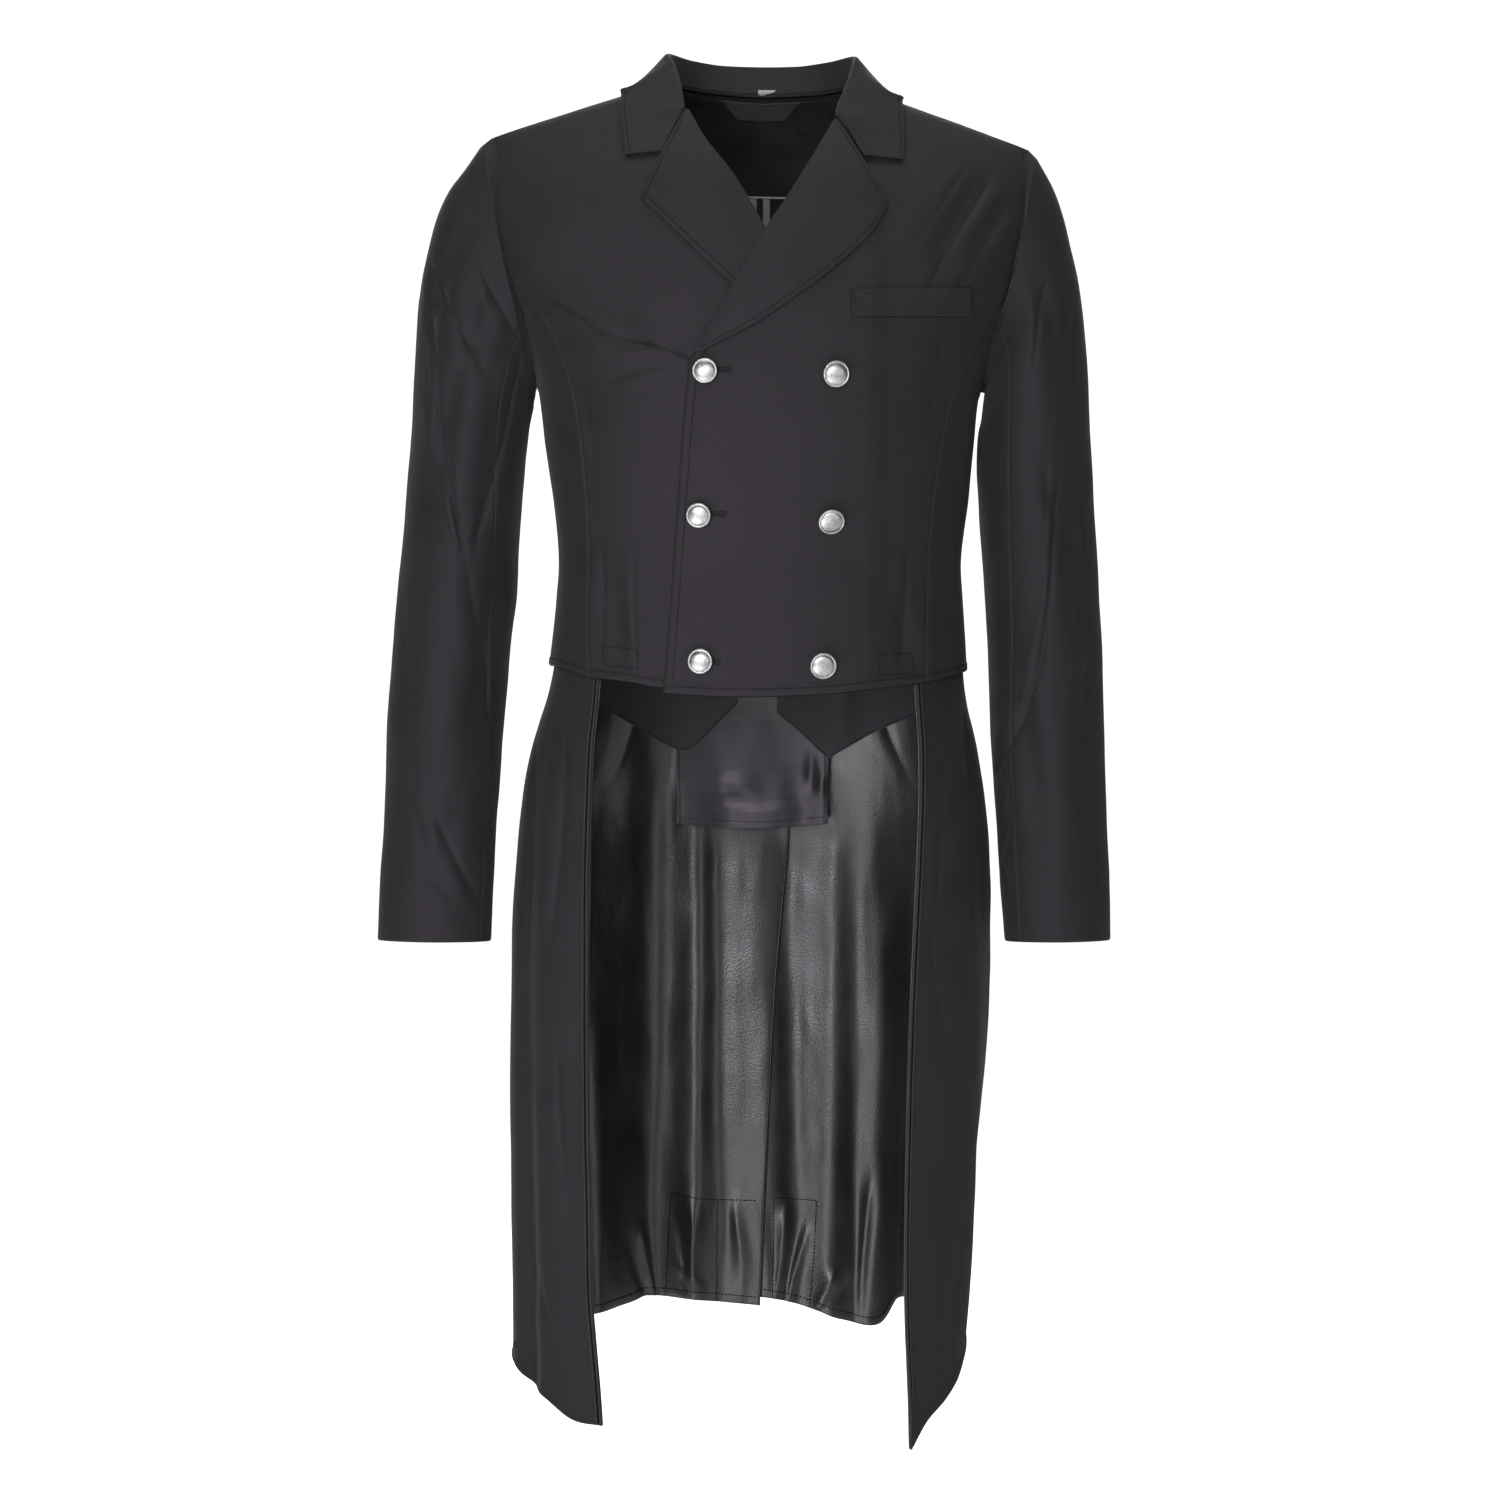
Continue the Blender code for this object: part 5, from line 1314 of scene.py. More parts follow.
def inside_grid(name, rows, cols, wall, place_at):
    """Sheet hung inside the back, which looks forwards; place_at gives x, z and depth."""
    grid = []
    for i in range(rows + 1):
        samples = []
        for j in range(cols + 1):
            x, z, depth = place_at(i / rows, j / cols)
            turn = turn_at(x if abs(x) > 0.01 else 0.01, z, True)
            normal = body_normal(turn, z * MM)
            samples.append((*(plain_body(turn, z * MM) - normal * depth * MM), *normal))
        grid.append(samples)
    grid = with_edges(np.array(grid))
    far, normals = grid[..., :3], unit(grid[..., 3:6])
    distance = edge_distances(far)
    near = far - normals * (wall - rolled(distance) * 0.5)[..., None]
    far = far - normals * (rolled(distance) * 0.2)[..., None]
    PANELS[name] = (near, -normals)
    return near, far


def facing_grids(side):
    def place_at(up, across):
        x, foot = spline(FACING_FOOT[side], across)
        z = foot + (FACING_TOP - foot) * up
        return x, z, facing_depth(x) + 0.4 * noise.noise(Vector((x, z, 3)) / 22)
    return inside_grid("facing_" + side, 4 * FINE, 10 * FINE, 1.2 * MM, place_at)


def flap_depth(x, z, share, low):
    """Depth of the flap: soft upright folds that grow to its hem, bulges and a hem band."""
    ripple = 1.4 * math.sin(share * 13.5 + 0.6) * low
    ripple += 1.5 * noise.noise(Vector((x, z * 0.45, 7)) / 20) * (0.3 + low)
    below = smooth((-514 - z) / 30)
    depth = 12.2 + (2.4 + ripple) * below + 0.5 * ripple * (1 - below)
    for middle_x, middle_z, wide, tall, swell in FLAP_BULGES:
        depth += swell * math.exp(-((x - middle_x) / wide) ** 2 - ((z - middle_z) / tall) ** 2)
    return depth


def facing_depth(x):
    """Depth inside the back: deeper over the flap and the lapped tail."""
    left, right, _, _ = FLAP
    near = min(smooth((x - left + 36) / 24), smooth((right + 36 - x) / 24))
    return FACING_DEPTH[0] + (FACING_DEPTH[1] - FACING_DEPTH[0]) * near


def flap_place(up, across):
    """Place and depth of the flap, with its bowed foot and its hem band."""
    left, right, top, foot = FLAP
    x = left + (right - left) * across
    bow = FLAP_BOW * math.sin(math.pi * across)
    z = foot + (top - foot) * up - bow * (1 - up)
    band = 0.6 * smooth((foot - bow + 6.5 - z) / 1.2)
    return x, z, flap_depth(x, z, across, 1 - up) + band


def flap_grids():
    return inside_grid("flap", 14 * FINE, 22 * FINE, SKIN, flap_place)


def lining_grids():
    """Far and near points of the skin inside both backs, clear of the creased cloth."""
    rows = []
    for right, left in zip(back_places("right")[2:], back_places("left")[2:]):
        row = []
        for t, z in right[-FINE:0:-1] + left[:1 - FINE]:
            point, normal = body_point(t, z, -WALL - 0.5 * MM), body_normal(t, z)
            row.append((*(point + normal * undulation(point, *WAVES["lining"])), *normal))
        rows.append(row)
    grid = np.array(rows)
    far, normals = grid[..., :3], unit(grid[..., 3:6])
    depth = np.maximum(crease_depths(far, CREASES["body_back"], 0.0), 0) * 1.2
    far = far - normals * depth[..., None]
    near = far - normals * SKIN
    for points in (far, near):
        points[-1] = points[-2] * 0.4 + points[-1] * 0.6
    return far, near


# ------------------------------------------------------------------ sewing

def across_mesh(grid, x, z):
    """Row and column shares of the place (x, z) on a grid, both in metres."""
    outer, _ = PANELS[grid]
    flat = outer[..., 0::2]
    away = ((flat - (x, z)) ** 2).sum(axis=2)
    i, j = np.unravel_index(away.argmin(), away.shape)
    i = min(max(int(i), 1), outer.shape[0] - 2)
    j = min(max(int(j), 1), outer.shape[1] - 2)
    rise = (flat[i + 1, j] - flat[i - 1, j]) / 2
    side = (flat[i, j + 1] - flat[i, j - 1]) / 2
    both = np.array([rise, side]).T
    step = np.linalg.lstsq(both, np.array((x, z)) - flat[i, j], rcond=None)[0]
    return i + float(np.clip(step[0], -1, 1)), j + float(np.clip(step[1], -1, 1))


def reading(array, i, j):
    """Smooth reading of a grid of vectors between its rows and columns."""
    low_i = min(max(int(i), 0), array.shape[0] - 2)
    low_j = min(max(int(j), 0), array.shape[1] - 2)
    u, v = i - low_i, j - low_j
    top = array[low_i, low_j] * (1 - v) + array[low_i, low_j + 1] * v
    foot = array[low_i + 1, low_j] * (1 - v) + array[low_i + 1, low_j + 1] * v
    return Vector(top * (1 - u) + foot * u)


def on_panel(name, x, z, out=0.0):
    """Point and normal of a panel's shown face at a place given in mm."""
    outer, normals = PANELS[name]
    i, j = across_mesh(name, x * MM, z * MM)
    normal = reading(normals, i, j).normalized()
    return reading(outer, i, j) + normal * out, normal


def line_on(name, keys, out=0.0, spacing=2.0):
    """Points and normals along a line of (x, z) keys in mm on a panel's shown face."""
    length = sum(math.dist(a, b) for a, b in zip(keys, keys[1:]))
    count = max(int(length / spacing), 2)
    points = []
    for k in range(count + 1):
        share = k / count
        straight = len(keys) == 2
        x, z = Vector(keys[0]).lerp(Vector(keys[1]), share) if straight else spline(keys, share)
        points.append(on_panel(name, x, z, out))
    return points


def inset(name, side, distance, start=0.0, end=1.0, out=0.0):
    """Points and normals a distance inside one side of a panel: foot, top, first, last."""
    outer, normals = PANELS[name]
    if side in ("first", "last"):
        outer, normals = outer.transpose(1, 0, 2), normals.transpose(1, 0, 2)
    if side in ("top", "last"):
        outer, normals = outer[::-1], normals[::-1]
    _, reach = reaches(outer)
    count = outer.shape[1] - 1
    points = []
    for j in range(int(count * start), int(math.ceil(count * end)) + 1):
        i = float(np.interp(distance, reach[:, j], np.arange(len(reach))))
        place = (i, min(j, count - 1e-6))
        normal = reading(normals, *place).normalized()
        points.append((reading(outer, *place) + normal * out, normal))
    return points


def resampled(line, spacing):
    """Points and normals of a line at even steps."""
    points = np.array([point for point, _ in line])
    normals = np.array([normal for _, normal in line])
    steps = np.linalg.norm(np.diff(points, axis=0), axis=1)
    reach = np.concatenate([[0], np.cumsum(steps)])
    count = max(int(reach[-1] / spacing), 1)
    wants = np.linspace(0, reach[-1], count + 1)
    places = np.stack([np.interp(wants, reach, points[:, k]) for k in range(3)], -1)
    normals = np.stack([np.interp(wants, reach, normals[:, k]) for k in range(3)], -1)
    return [(Vector(p), Vector(n).normalized()) for p, n in zip(places, normals)]


class Threads:
    """Collects stitches and cords as small tubes in one mesh."""

    def __init__(self):
        self.points, self.faces = [], []

    def tube(self, line, radii, height=1.0, sides=5, closed=False):
        """Tube along points with normals; height flattens it."""
        base = len(self.points)
        count = len(line)
        for k, (point, normal) in enumerate(line):
            ahead = line[(k + 1) % count if closed else min(k + 1, count - 1)][0]
            behind = line[(k - 1) % count if closed else max(k - 1, 0)][0]
            along = (ahead - behind).normalized()
            across = along.cross(normal).normalized()
            up = across.cross(along)
            radius = radii[k] if isinstance(radii, (list, tuple)) else radii
            for s in range(sides):
                angle = 2 * math.pi * s / sides
                spoke = across * math.cos(angle) + up * (height * math.sin(angle))
                self.points.append(point + spoke * radius)
        rings = count if closed else count - 1
        for k in range(rings):
            a, b = base + k * sides, base + (k + 1) % count * sides
            for s in range(sides):
                n = (s + 1) % sides
                self.faces.append((a + s, a + n, b + n, b + s))
        if not closed:
            self.faces.append(tuple(base + s for s in reversed(range(sides))))
            last = base + (count - 1) * sides
            self.faces.append(tuple(last + s for s in range(sides)))

    def stitch(self, start, end, normal, radius):
        """One thread stitch whose ends dive into the cloth."""
        mid = start.lerp(end, 0.5) + normal * radius * 0.9
        low = -normal * radius * 0.7
        line = [(start + low, normal), (start.lerp(mid, 0.45) + normal * radius * 0.35, normal),
                (mid, normal), (end.lerp(mid, 0.45) + normal * radius * 0.35, normal),
                (end + low, normal)]
        radii = [radius * 0.7, radius, radius, radius, radius * 0.7]
        self.tube(line, radii, 0.8, 5)

    def row(self, line, pitch=2.9 * MM, gap=0.9 * MM, radius=0.34 * MM):
        """Row of stitches along a line of points and normals."""
        places = resampled(line, pitch)
        for (a, n), (b, _) in zip(places, places[1:]):
            short = (b - a).normalized() * gap / 2
            self.stitch(a + short, b - short, n, radius)

    def made(self, name, material):
        mesh = bpy.data.meshes.new(name)
        mesh.from_pydata([tuple(p) for p in self.points], [], self.faces)
        return finished(mesh, [material])


# --------------------------------------------------------------- materials

class Nodes:
    """Short hand for a material's node tree."""

    def __init__(self, name):
        self.mat = bpy.data.materials.new(name)
        self.mat.use_nodes = True
        self.tree = self.mat.node_tree
        self.shader = self.tree.nodes["Principled BSDF"]

    def fill(self, node, values):
        """Links or sets the inputs of a node."""
        for key, value in values.items():
            if isinstance(value, bpy.types.NodeSocket):
                self.tree.links.new(value, node.inputs[key])
            else:
                node.inputs[key].default_value = value
        return node

    def new(self, kind, values=None, **options):
        node = self.tree.nodes.new(kind)
        for key, value in options.items():
            setattr(node, key, value)
        return self.fill(node, values or {})

    def sets(self, values):
        self.fill(self.shader, values)
        return self.mat

    def place(self, kind="Object"):
        return self.new("ShaderNodeTexCoord").outputs[kind]

    def cloth_axes(self):
        """Distances across and along the cloth in metres."""
        apart = self.new("ShaderNodeSeparateXYZ", {0: self.place("UV")})
        return apart.outputs[0], apart.outputs[1]

    def math(self, kind, a, b=0.5):
        return self.new("ShaderNodeMath", {0: a, 1: b}, operation=kind).outputs[0]

    def total(self, *terms):
        """Sum of (value, weight) terms."""
        parts = [self.math("MULTIPLY", value, weight) for value, weight in terms]
        whole = parts[0]
        for part in parts[1:]:
            whole = self.math("ADD", whole, part)
        return whole

    def wave(self, coordinate, per_metre):
        """Raised rounds across a coordinate in metres."""
        turn = self.math("MULTIPLY", coordinate, 2 * math.pi * per_metre)
        return self.math("SINE", turn, 0.0)

    def ramp(self, value, low, high, to_low=0.0, to_high=1.0):
        return self.new("ShaderNodeMapRange", {"Value": value, "From Min": low, "From Max": high,
                        "To Min": to_low, "To Max": to_high}).outputs[0]

    def mix(self, share, a, b):
        node = self.new("ShaderNodeMix", {0: share, 6: a, 7: b}, data_type="RGBA")
        return node.outputs[2]

    def noise(self, vector, scale, detail=3.0, rough=0.55):
        return self.new("ShaderNodeTexNoise", {"Vector": vector, "Scale": scale,
                        "Detail": detail, "Roughness": rough}).outputs["Fac"]

    def stretched(self, vector, scale):
        return self.new("ShaderNodeMapping", {"Vector": vector, "Scale": scale}).outputs[0]

    def bump(self, height, distance, strength=1.0, under=None):
        values = {"Height": height, "Distance": distance, "Strength": strength}
        if under is not None:
            values["Normal"] = under
        return self.new("ShaderNodeBump", values).outputs["Normal"]


def shade(colour, factor=1.0):
    """Opaque colour, made darker or lighter by a factor."""
    return tuple(c * factor for c in colour) + (1,)


def wool(name, colour, sheen=0.10, weave=1900.0, fleck=0.16):
    """Fine matte wool-type cloth: twill, a faint fuzz and soft cloudiness."""
    nodes = Nodes(name)
    uv, place = nodes.place("UV"), nodes.place()
    across, along = nodes.cloth_axes()
    twill = nodes.wave(nodes.math("ADD", across, along), weave * 0.5)
    cross = nodes.wave(nodes.math("SUBTRACT", across, along), weave * 0.8)
    yarn = nodes.total((twill, 0.6), (cross, 0.25))
    fuzz = nodes.noise(place, 700.0, 4.0, 0.75)
    slub = nodes.noise(nodes.stretched(uv, (900.0, 160.0, 1.0)), 1.0, 3.0, 0.6)
    cloud = nodes.noise(place, 17.0, 5.0, 0.6)
    height = nodes.total((yarn, 0.3), (fuzz, 1.0), (slub, 0.5))
    tone = nodes.total((fuzz, fleck * 4), (cloud, 0.6), (yarn, fleck * 0.5))
    colours = nodes.mix(nodes.ramp(tone, 0.34, 0.90), shade(colour, 0.66), shade(colour, 1.34))
    normal = nodes.bump(height, 0.00022, 0.6)
    normal = nodes.bump(cloud, 0.0024, 0.5, normal)
    return nodes.sets({"Base Color": colours, "Normal": normal,
                       "Roughness": nodes.ramp(cloud, 0.3, 0.7, 0.64, 0.72),
                       "Sheen Weight": sheen, "Sheen Roughness": 0.5,
                       "Sheen Tint": (0.86, 0.80, 0.88, 1), "Specular IOR Level": SHINE,
                       "Specular Tint": (0.96, 0.86, 1.0, 1)})


def faux_leather(name):
    """Glossy black faux leather with a fine pebbled grain and upright drape ripples."""
    nodes = Nodes(name)
    place = nodes.place()
    grain = nodes.new("ShaderNodeTexVoronoi", {"Vector": place, "Scale": 520.0,
                      "Randomness": 1.0}).outputs["Distance"]
    fine = nodes.noise(place, 900.0, 4.0, 0.7)
    cloud = nodes.noise(place, 16.0, 3.0, 0.5)
    ripple = nodes.noise(nodes.stretched(place, (26.0, 26.0, 5.0)), 1.0, 2.0, 0.5)
    crumple = nodes.noise(nodes.stretched(place, (90.0, 90.0, 40.0)), 1.0, 0.0, 0.5)
    normal = nodes.bump(ripple, 0.0030, 0.6)
    normal = nodes.bump(crumple, 0.0004, 0.6, normal)
    normal = nodes.bump(nodes.ramp(grain, 0.0, 0.7), 0.00010, 0.7, normal)
    normal = nodes.bump(fine, 0.00004, 0.7, normal)
    rough = nodes.ramp(nodes.total((fine, 0.4), (cloud, 1.0)), 0.4, 1.0, 0.27, 0.37)
    colour = nodes.mix(nodes.ramp(cloud, 0.3, 0.7), (0.0075, 0.0070, 0.0078, 1),
                       (0.0125, 0.0120, 0.0132, 1))
    return nodes.sets({"Base Color": colour, "Roughness": rough, "Normal": normal,
                       "Specular IOR Level": 0.48, "Specular Tint": (0.98, 0.94, 1.0, 1)})


def satin(name, dark, light, rough=0.36):
    """Smooth satin with a fine cross thread."""
    nodes = Nodes(name)
    uv, place = nodes.place("UV"), nodes.place()
    across, along = nodes.cloth_axes()
    thread_wave, warp = nodes.wave(along, 2600.0), nodes.wave(across, 1400.0)
    slub = nodes.noise(nodes.stretched(uv, (60.0, 900.0, 1.0)), 1.0, 3.0, 0.6)
    cloud = nodes.noise(place, 30.0, 3.0, 0.5)
    soft = nodes.noise(place, 24.0, 0.0, 0.5)
    height = nodes.total((thread_wave, 0.2), (warp, 0.1), (slub, 1.0))
    normal = nodes.bump(soft, 0.0034, 0.7)
    normal = nodes.bump(height, 0.00008, 0.5, normal)
    share = nodes.ramp(nodes.total((slub, 0.5), (cloud, 0.5)), 0.3, 0.7)
    return nodes.sets({"Base Color": nodes.mix(share, shade(dark), shade(light)),
                       "Normal": normal,
                       "Roughness": nodes.ramp(slub, 0.3, 0.7, rough - 0.04, rough + 0.08),
                       "Sheen Weight": 0.05, "Sheen Roughness": 0.35, "Anisotropic": 0.35,
                       "Specular IOR Level": 0.30, "Specular Tint": (0.98, 0.90, 1.0, 1)})


def thread(name, colour, rough=0.55, per_metre=1300.0):
    """Twisted sewing thread or a piped cord."""
    nodes = Nodes(name)
    twist = nodes.noise(nodes.place(), per_metre, 2.0, 0.6)
    share = nodes.ramp(twist, 0.35, 0.65)
    return nodes.sets({"Base Color": nodes.mix(share, shade(colour, 0.7), shade(colour, 1.25)),
                       "Normal": nodes.bump(twist, 0.00015, 0.6),
                       "Roughness": nodes.ramp(twist, 0.3, 0.7, rough - 0.08, rough + 0.12),
                       "Sheen Weight": 0.02, "Sheen Roughness": 0.4,
                       "Specular IOR Level": 0.1})


def brushed(name):
    """Silver button metal with a brushed face and light wear."""
    nodes = Nodes(name)
    place = nodes.place()
    grain = nodes.noise(nodes.stretched(place, (2600.0, 700.0, 500.0)), 1.0, 4.0, 0.6)
    wear = nodes.noise(place, 240.0, 4.0, 0.6)
    tone = nodes.ramp(nodes.total((grain, 0.5), (wear, 0.5)), 0.35, 0.65)
    colour = nodes.mix(tone, (0.22, 0.22, 0.23, 1), (0.50, 0.50, 0.51, 1))
    return nodes.sets({"Base Color": colour, "Metallic": 1.0,
                       "Roughness": nodes.ramp(tone, 0.0, 1.0, 0.34, 0.46),
                       "Normal": nodes.bump(grain, 0.00008, 0.6), "Anisotropic": 0.3})


def edge_metal(name):
    """Darker patina in the groove round a button's rim."""
    nodes = Nodes(name)
    wear = nodes.noise(nodes.place(), 700.0, 4.0, 0.65)
    share = nodes.ramp(wear, 0.4, 0.6)
    colour = nodes.mix(share, (0.10, 0.10, 0.11, 1), (0.34, 0.34, 0.35, 1))
    return nodes.sets({"Base Color": colour, "Metallic": 1.0,
                       "Roughness": nodes.ramp(wear, 0.3, 0.7, 0.3, 0.5)})


def tape(name):
    """White woven tape."""
    nodes = Nodes(name)
    across, along = nodes.cloth_axes()
    weave = nodes.math("MULTIPLY", nodes.wave(across, 1500.0), nodes.wave(along, 1500.0))
    share = nodes.ramp(weave, -1.0, 1.0)
    colour = nodes.mix(share, (0.26, 0.26, 0.27, 1), (0.42, 0.42, 0.42, 1))
    return nodes.sets({"Base Color": colour, "Normal": nodes.bump(weave, 0.0001, 0.5),
                       "Roughness": nodes.ramp(weave, -1.0, 1.0, 0.8, 0.92)})


def plain_wall(name, value, glow):
    """Matte floor and backdrop paint, lit a little from behind."""
    nodes = Nodes(name)
    grain = nodes.ramp(nodes.noise(nodes.place(), 60.0, 4.0, 0.6), 0.3, 0.7)
    grey = (value,) * 3
    return nodes.sets({"Base Color": nodes.mix(grain, shade(grey, 0.995), shade(grey)),
                       "Roughness": nodes.ramp(grain, 0.0, 1.0, 0.9, 0.95),
                       "Emission Color": (1, 1, 1, 1), "Emission Strength": glow})


# ------------------------------------------------------------------ pieces

def sewing_for(name, lines, material, slot="cloth", **options):
    """One piece that holds all rows of stitches on a panel."""
    threads = Threads()
    for line in lines:
        threads.row(line, **options)
    return dress(threads.made("sewing_" + name, material), slot)


def declared(size):
    width, length, area = size
    width, length = max(width, 0.01), max(length, 0.01)
    area = min(max(area, 0.31 * width * length), width * length)


def cloth(node, grids, materials, slot="cloth", extra=(), step=3, settle=True):
    """Visible sheet of one node, in place of its solids; the sewing given in extra is not used
    here.
    """
    shown, hidden = grids
    thing = sheet_mesh("dressed_" + node, shown, hidden, materials, step, settle)
    dress(thing, slot, node)
    declared(cut_size(shown))
    return thing


def box_rows(name, corners):
    return [line_on(name, [a, b]) for a, b in zip(corners, corners[1:] + corners[:1])]


def cords(name, lines, material, slot="cloth"):
    """One piece of cords, each a line with its radius, its flatness and its sides."""
    threads = Threads()
    for line, radius, height, sides_round in lines:
        threads.tube(resampled(line, CORD_STEP), radius, height, sides_round)
    return dress(threads.made(name, material), slot)


def painted_edge_shadow(name, edges, mats):
    """Dark cords just under the turned edges of a panel: a painted shadow line below each edge.
    """
    lines = [inset(name, side, 0.5 * MM, start, end, -1.5 * MM) for side, start, end in edges]
    return cords("painted_edge_shadow_" + name, [(line, 1.1 * MM, 0.6, 6) for line in lines],
                 mats["thread"])


def body_cloth(name, grids, extra, mats):
    return cloth(name, grids, [mats["wool"], mats["inside"]], extra=extra)


def fronts(side, mats):
    name = "front_" + side
    grids = body_grid(name, with_shoulder(front_places(side)), side, 3)
    rows = [inset(name, "foot", HEM_STITCH, 0.02, 0.98),
            inset(name, "first", FRONT_STITCH, 0.02, 0.36)]
    rows += box_rows(name, STITCHED_BOXES[side])
    # The dark cords under the hem and the front edge are a painted edge shadow.
    extra = [sewing_for(name, rows, mats["thread"]),
             painted_edge_shadow(name, [("foot", 0, 1), ("first", 0, 0.4)], mats)]
    if side == "left":
        extra.append(buttonholes(mats))
    body_cloth(name, grids, extra, mats)


def sides(side, mats):
    name = "side_" + side
    grids = body_grid(name, side_places(side), "side", 3)
    sewing = sewing_for(name, [inset(name, "foot", HEM_STITCH, 0.02, 0.98)], mats["thread"])
    # The dark cord under the hem is a painted edge shadow.
    extra = [sewing, painted_edge_shadow(name, [("foot", 0, 1)], mats)]
    body_cloth(name, grids, extra, mats)


def backs(side, mats):
    name = "back_" + side
    grids = body_grid(name, with_shoulder(back_places(side)), "back", 2)
    rows = [inset(name, "foot", BACK_STITCH, 0.02, 0.98)]
    extra = [sewing_for(name, rows, mats["thread"])]
    body_cloth(name, grids, extra, mats)


def lapels(side, mats):
    name = "lapel_" + side
    grids = lapel_grid(side)
    rows = [inset(name, "last", LAPEL_STITCH, 0.06, 0.97),
            inset(name, "top", LAPEL_STITCH, 0.45, 0.96)]
    cloth(name, grids, [mats["wool"]],
          extra=[sewing_for(name, rows, mats["thread"])], step=1)


def collars(mats):
    grids = collar_grid()
    rows = [inset("collar", "last", LAPEL_STITCH, 0.02, 0.98),
            inset("collar", "first", 3 * MM, 0.15, 0.85)]
    cloth("collar", grids, [mats["wool"]],
          extra=[sewing_for("collar", rows, mats["thread"])], step=1)


def armhole_tape(side, mats):
    """Seam allowance inside an armhole, which closes the seam to light."""
    middle = sum((sleeve_point(side, 0, turn) for turn in range(0, 360, 30)), Vector()) / 12
    loop = []
    for turn in range(0, 360, 4):
        point = sleeve_point(side, 0, turn)
        toward = (middle - point).normalized()
        loop.append((point + toward * 2.6 * MM, -toward))
    ring = Threads()
    ring.tube(loop, 2.0 * MM, sides=8, closed=True)
    return dress(ring.made("armhole_tape_" + side, mats["inside"]), "cloth")


def sleeves(side, mats):
    ring = armhole_tape(side, mats)
    for name, first, cols, extra in (("topsleeve_", 0, 44, [ring]), ("undersleeve_", 1, 22, [])):
        grids = panel(name + side, *sleeve_grids(side, first, cols))
        cloth(name + side, grids, [mats["wool"], mats["inside"]], extra=extra)


def tail_cloth(side, grids, mats):
    """Outer cloth of a tail with its piped front edge and hem."""
    name = "tail_" + side
    # The flat dark cord inside the piping, along the front edge, is a painted seam shadow.
    seam = cords("seam_shadow_" + name, [(inset(name, "first", 2.9 * MM, out=0.1 * MM),
                                   0.8 * MM, 0.5, 5)], mats["thread"])
    piping = cords("piping_" + name, [
        (inset(name, "first", 1.1 * MM, out=0.15 * MM), 1.05 * MM, 1.0, 8),
        (inset(name, "first", 4.8 * MM), 0.85 * MM, 0.7, 8),
        (inset(name, "foot", 0.9 * MM), 0.9 * MM, 1.0, 8)], mats["piping"])
    cloth(name, grids, [mats["wool"]],
          extra=[piping, seam], step=2, settle=False)


def tail_lining(side, grids, mats):
    """Lining of a tail with its bound edges and the sewing round its weights."""
    name = "tail_lining_" + side
    rows = [line_on(name, keys) for keys in WEIGHT_LINES[side]]
    rows.append(inset(name, "foot", 7 * MM, 0.03, 0.97))
    sewing = sewing_for(name, rows, mats["lining_thread"], "lining", pitch=3.1 * MM,
                        radius=0.5 * MM)
    binding = cords("binding_" + name, [
        (inset(name, "last", 0.9 * MM, out=0.2 * MM), 0.95 * MM, 1.0, 8),
        (inset(name, "first", 1.2 * MM, out=0.1 * MM), 0.9 * MM, 1.0, 8)],
        mats["leather"], "lining")
    cloth(name, grids, [mats["leather"]], "lining",
          [sewing, binding], step=2, settle=False)


def tails(side, mats):
    outer, lining = tail_grids(side)
    tail_cloth(side, outer, mats)
    tail_lining(side, lining, mats)


def facings(side, mats):
    name = "waist_facing_" + side
    grids = facing_grids(side)
    rows = [inset("facing_" + side, "foot", 2.2 * MM, 0.01, 0.99)]
    cloth(name, grids, [mats["facing"]],
          extra=[sewing_for(name, rows, mats["thread"])])


def flaps(mats):
    grids = flap_grids()
    threads = Threads()
    for side in ("first", "last"):
        line = resampled(inset("flap", side, 1.5 * MM), 1.6 * MM)
        inner = resampled(inset("flap", side, 4.2 * MM), 1.6 * MM)
        for k in range(min(len(line), len(inner)) - 1):
            point, normal = line[k]
            threads.stitch(point, inner[k + 1][0], normal, 0.2 * MM)
            threads.stitch(inner[k][0], line[k + 1][0], normal, 0.2 * MM)
    threads.row(inset("flap", "foot", HEM_STITCH, 0.02, 0.98))
    sewing = dress(threads.made("sewing_inner_flap", mats["satin_thread"]), "satin")
    cloth("inner_flap", grids, [mats["satin"]],
          "satin", [sewing])


def lining_strip(index, middle, width, mats):
    """Pale strip that hangs from the yoke seam down the back lining."""
    grid, back = [], []
    for k in range(STRIP_ROWS):
        z = YOKE - 1 + (STRIP_FOOT - YOKE) * k / (STRIP_ROWS - 1)
        row = [on_panel("back_lining", middle + width * (t - 0.5), z) for t, _ in STRIP_SECTION]
        lifts = [lift for _, lift in STRIP_SECTION]
        grid.append([tuple(p + n * lift * MM) for (p, n), lift in zip(row, lifts)])
        back.append([tuple(p - n * 0.2 * MM) for p, n in row])
    strip = sheet_mesh("lining_strip_%d" % index, np.array(grid), np.array(back),
                       [mats["strip"]])
    return dress(strip, "lining")


def lined_back(mats):
    far, near = lining_grids()
    PANELS["back_lining"] = (near, normals_of(near, near - far))
    yoke = Threads()
    lean = [(x, YOKE - LEAN * x) for x in range(-96, 97, 8)]
    yoke.tube(line_on("back_lining", lean, 0.3 * MM, 3.0), 0.9 * MM, sides=8)
    extra = [dress(yoke.made("yoke_piping", mats["pale_thread"]), "lining")]
    for index, (middle, width) in enumerate(LINING_STRIPS, 1):
        extra.append(lining_strip(index, middle, width, mats))
    cloth("back_lining", (near, far), [mats["lining"]],
          "lining", extra)


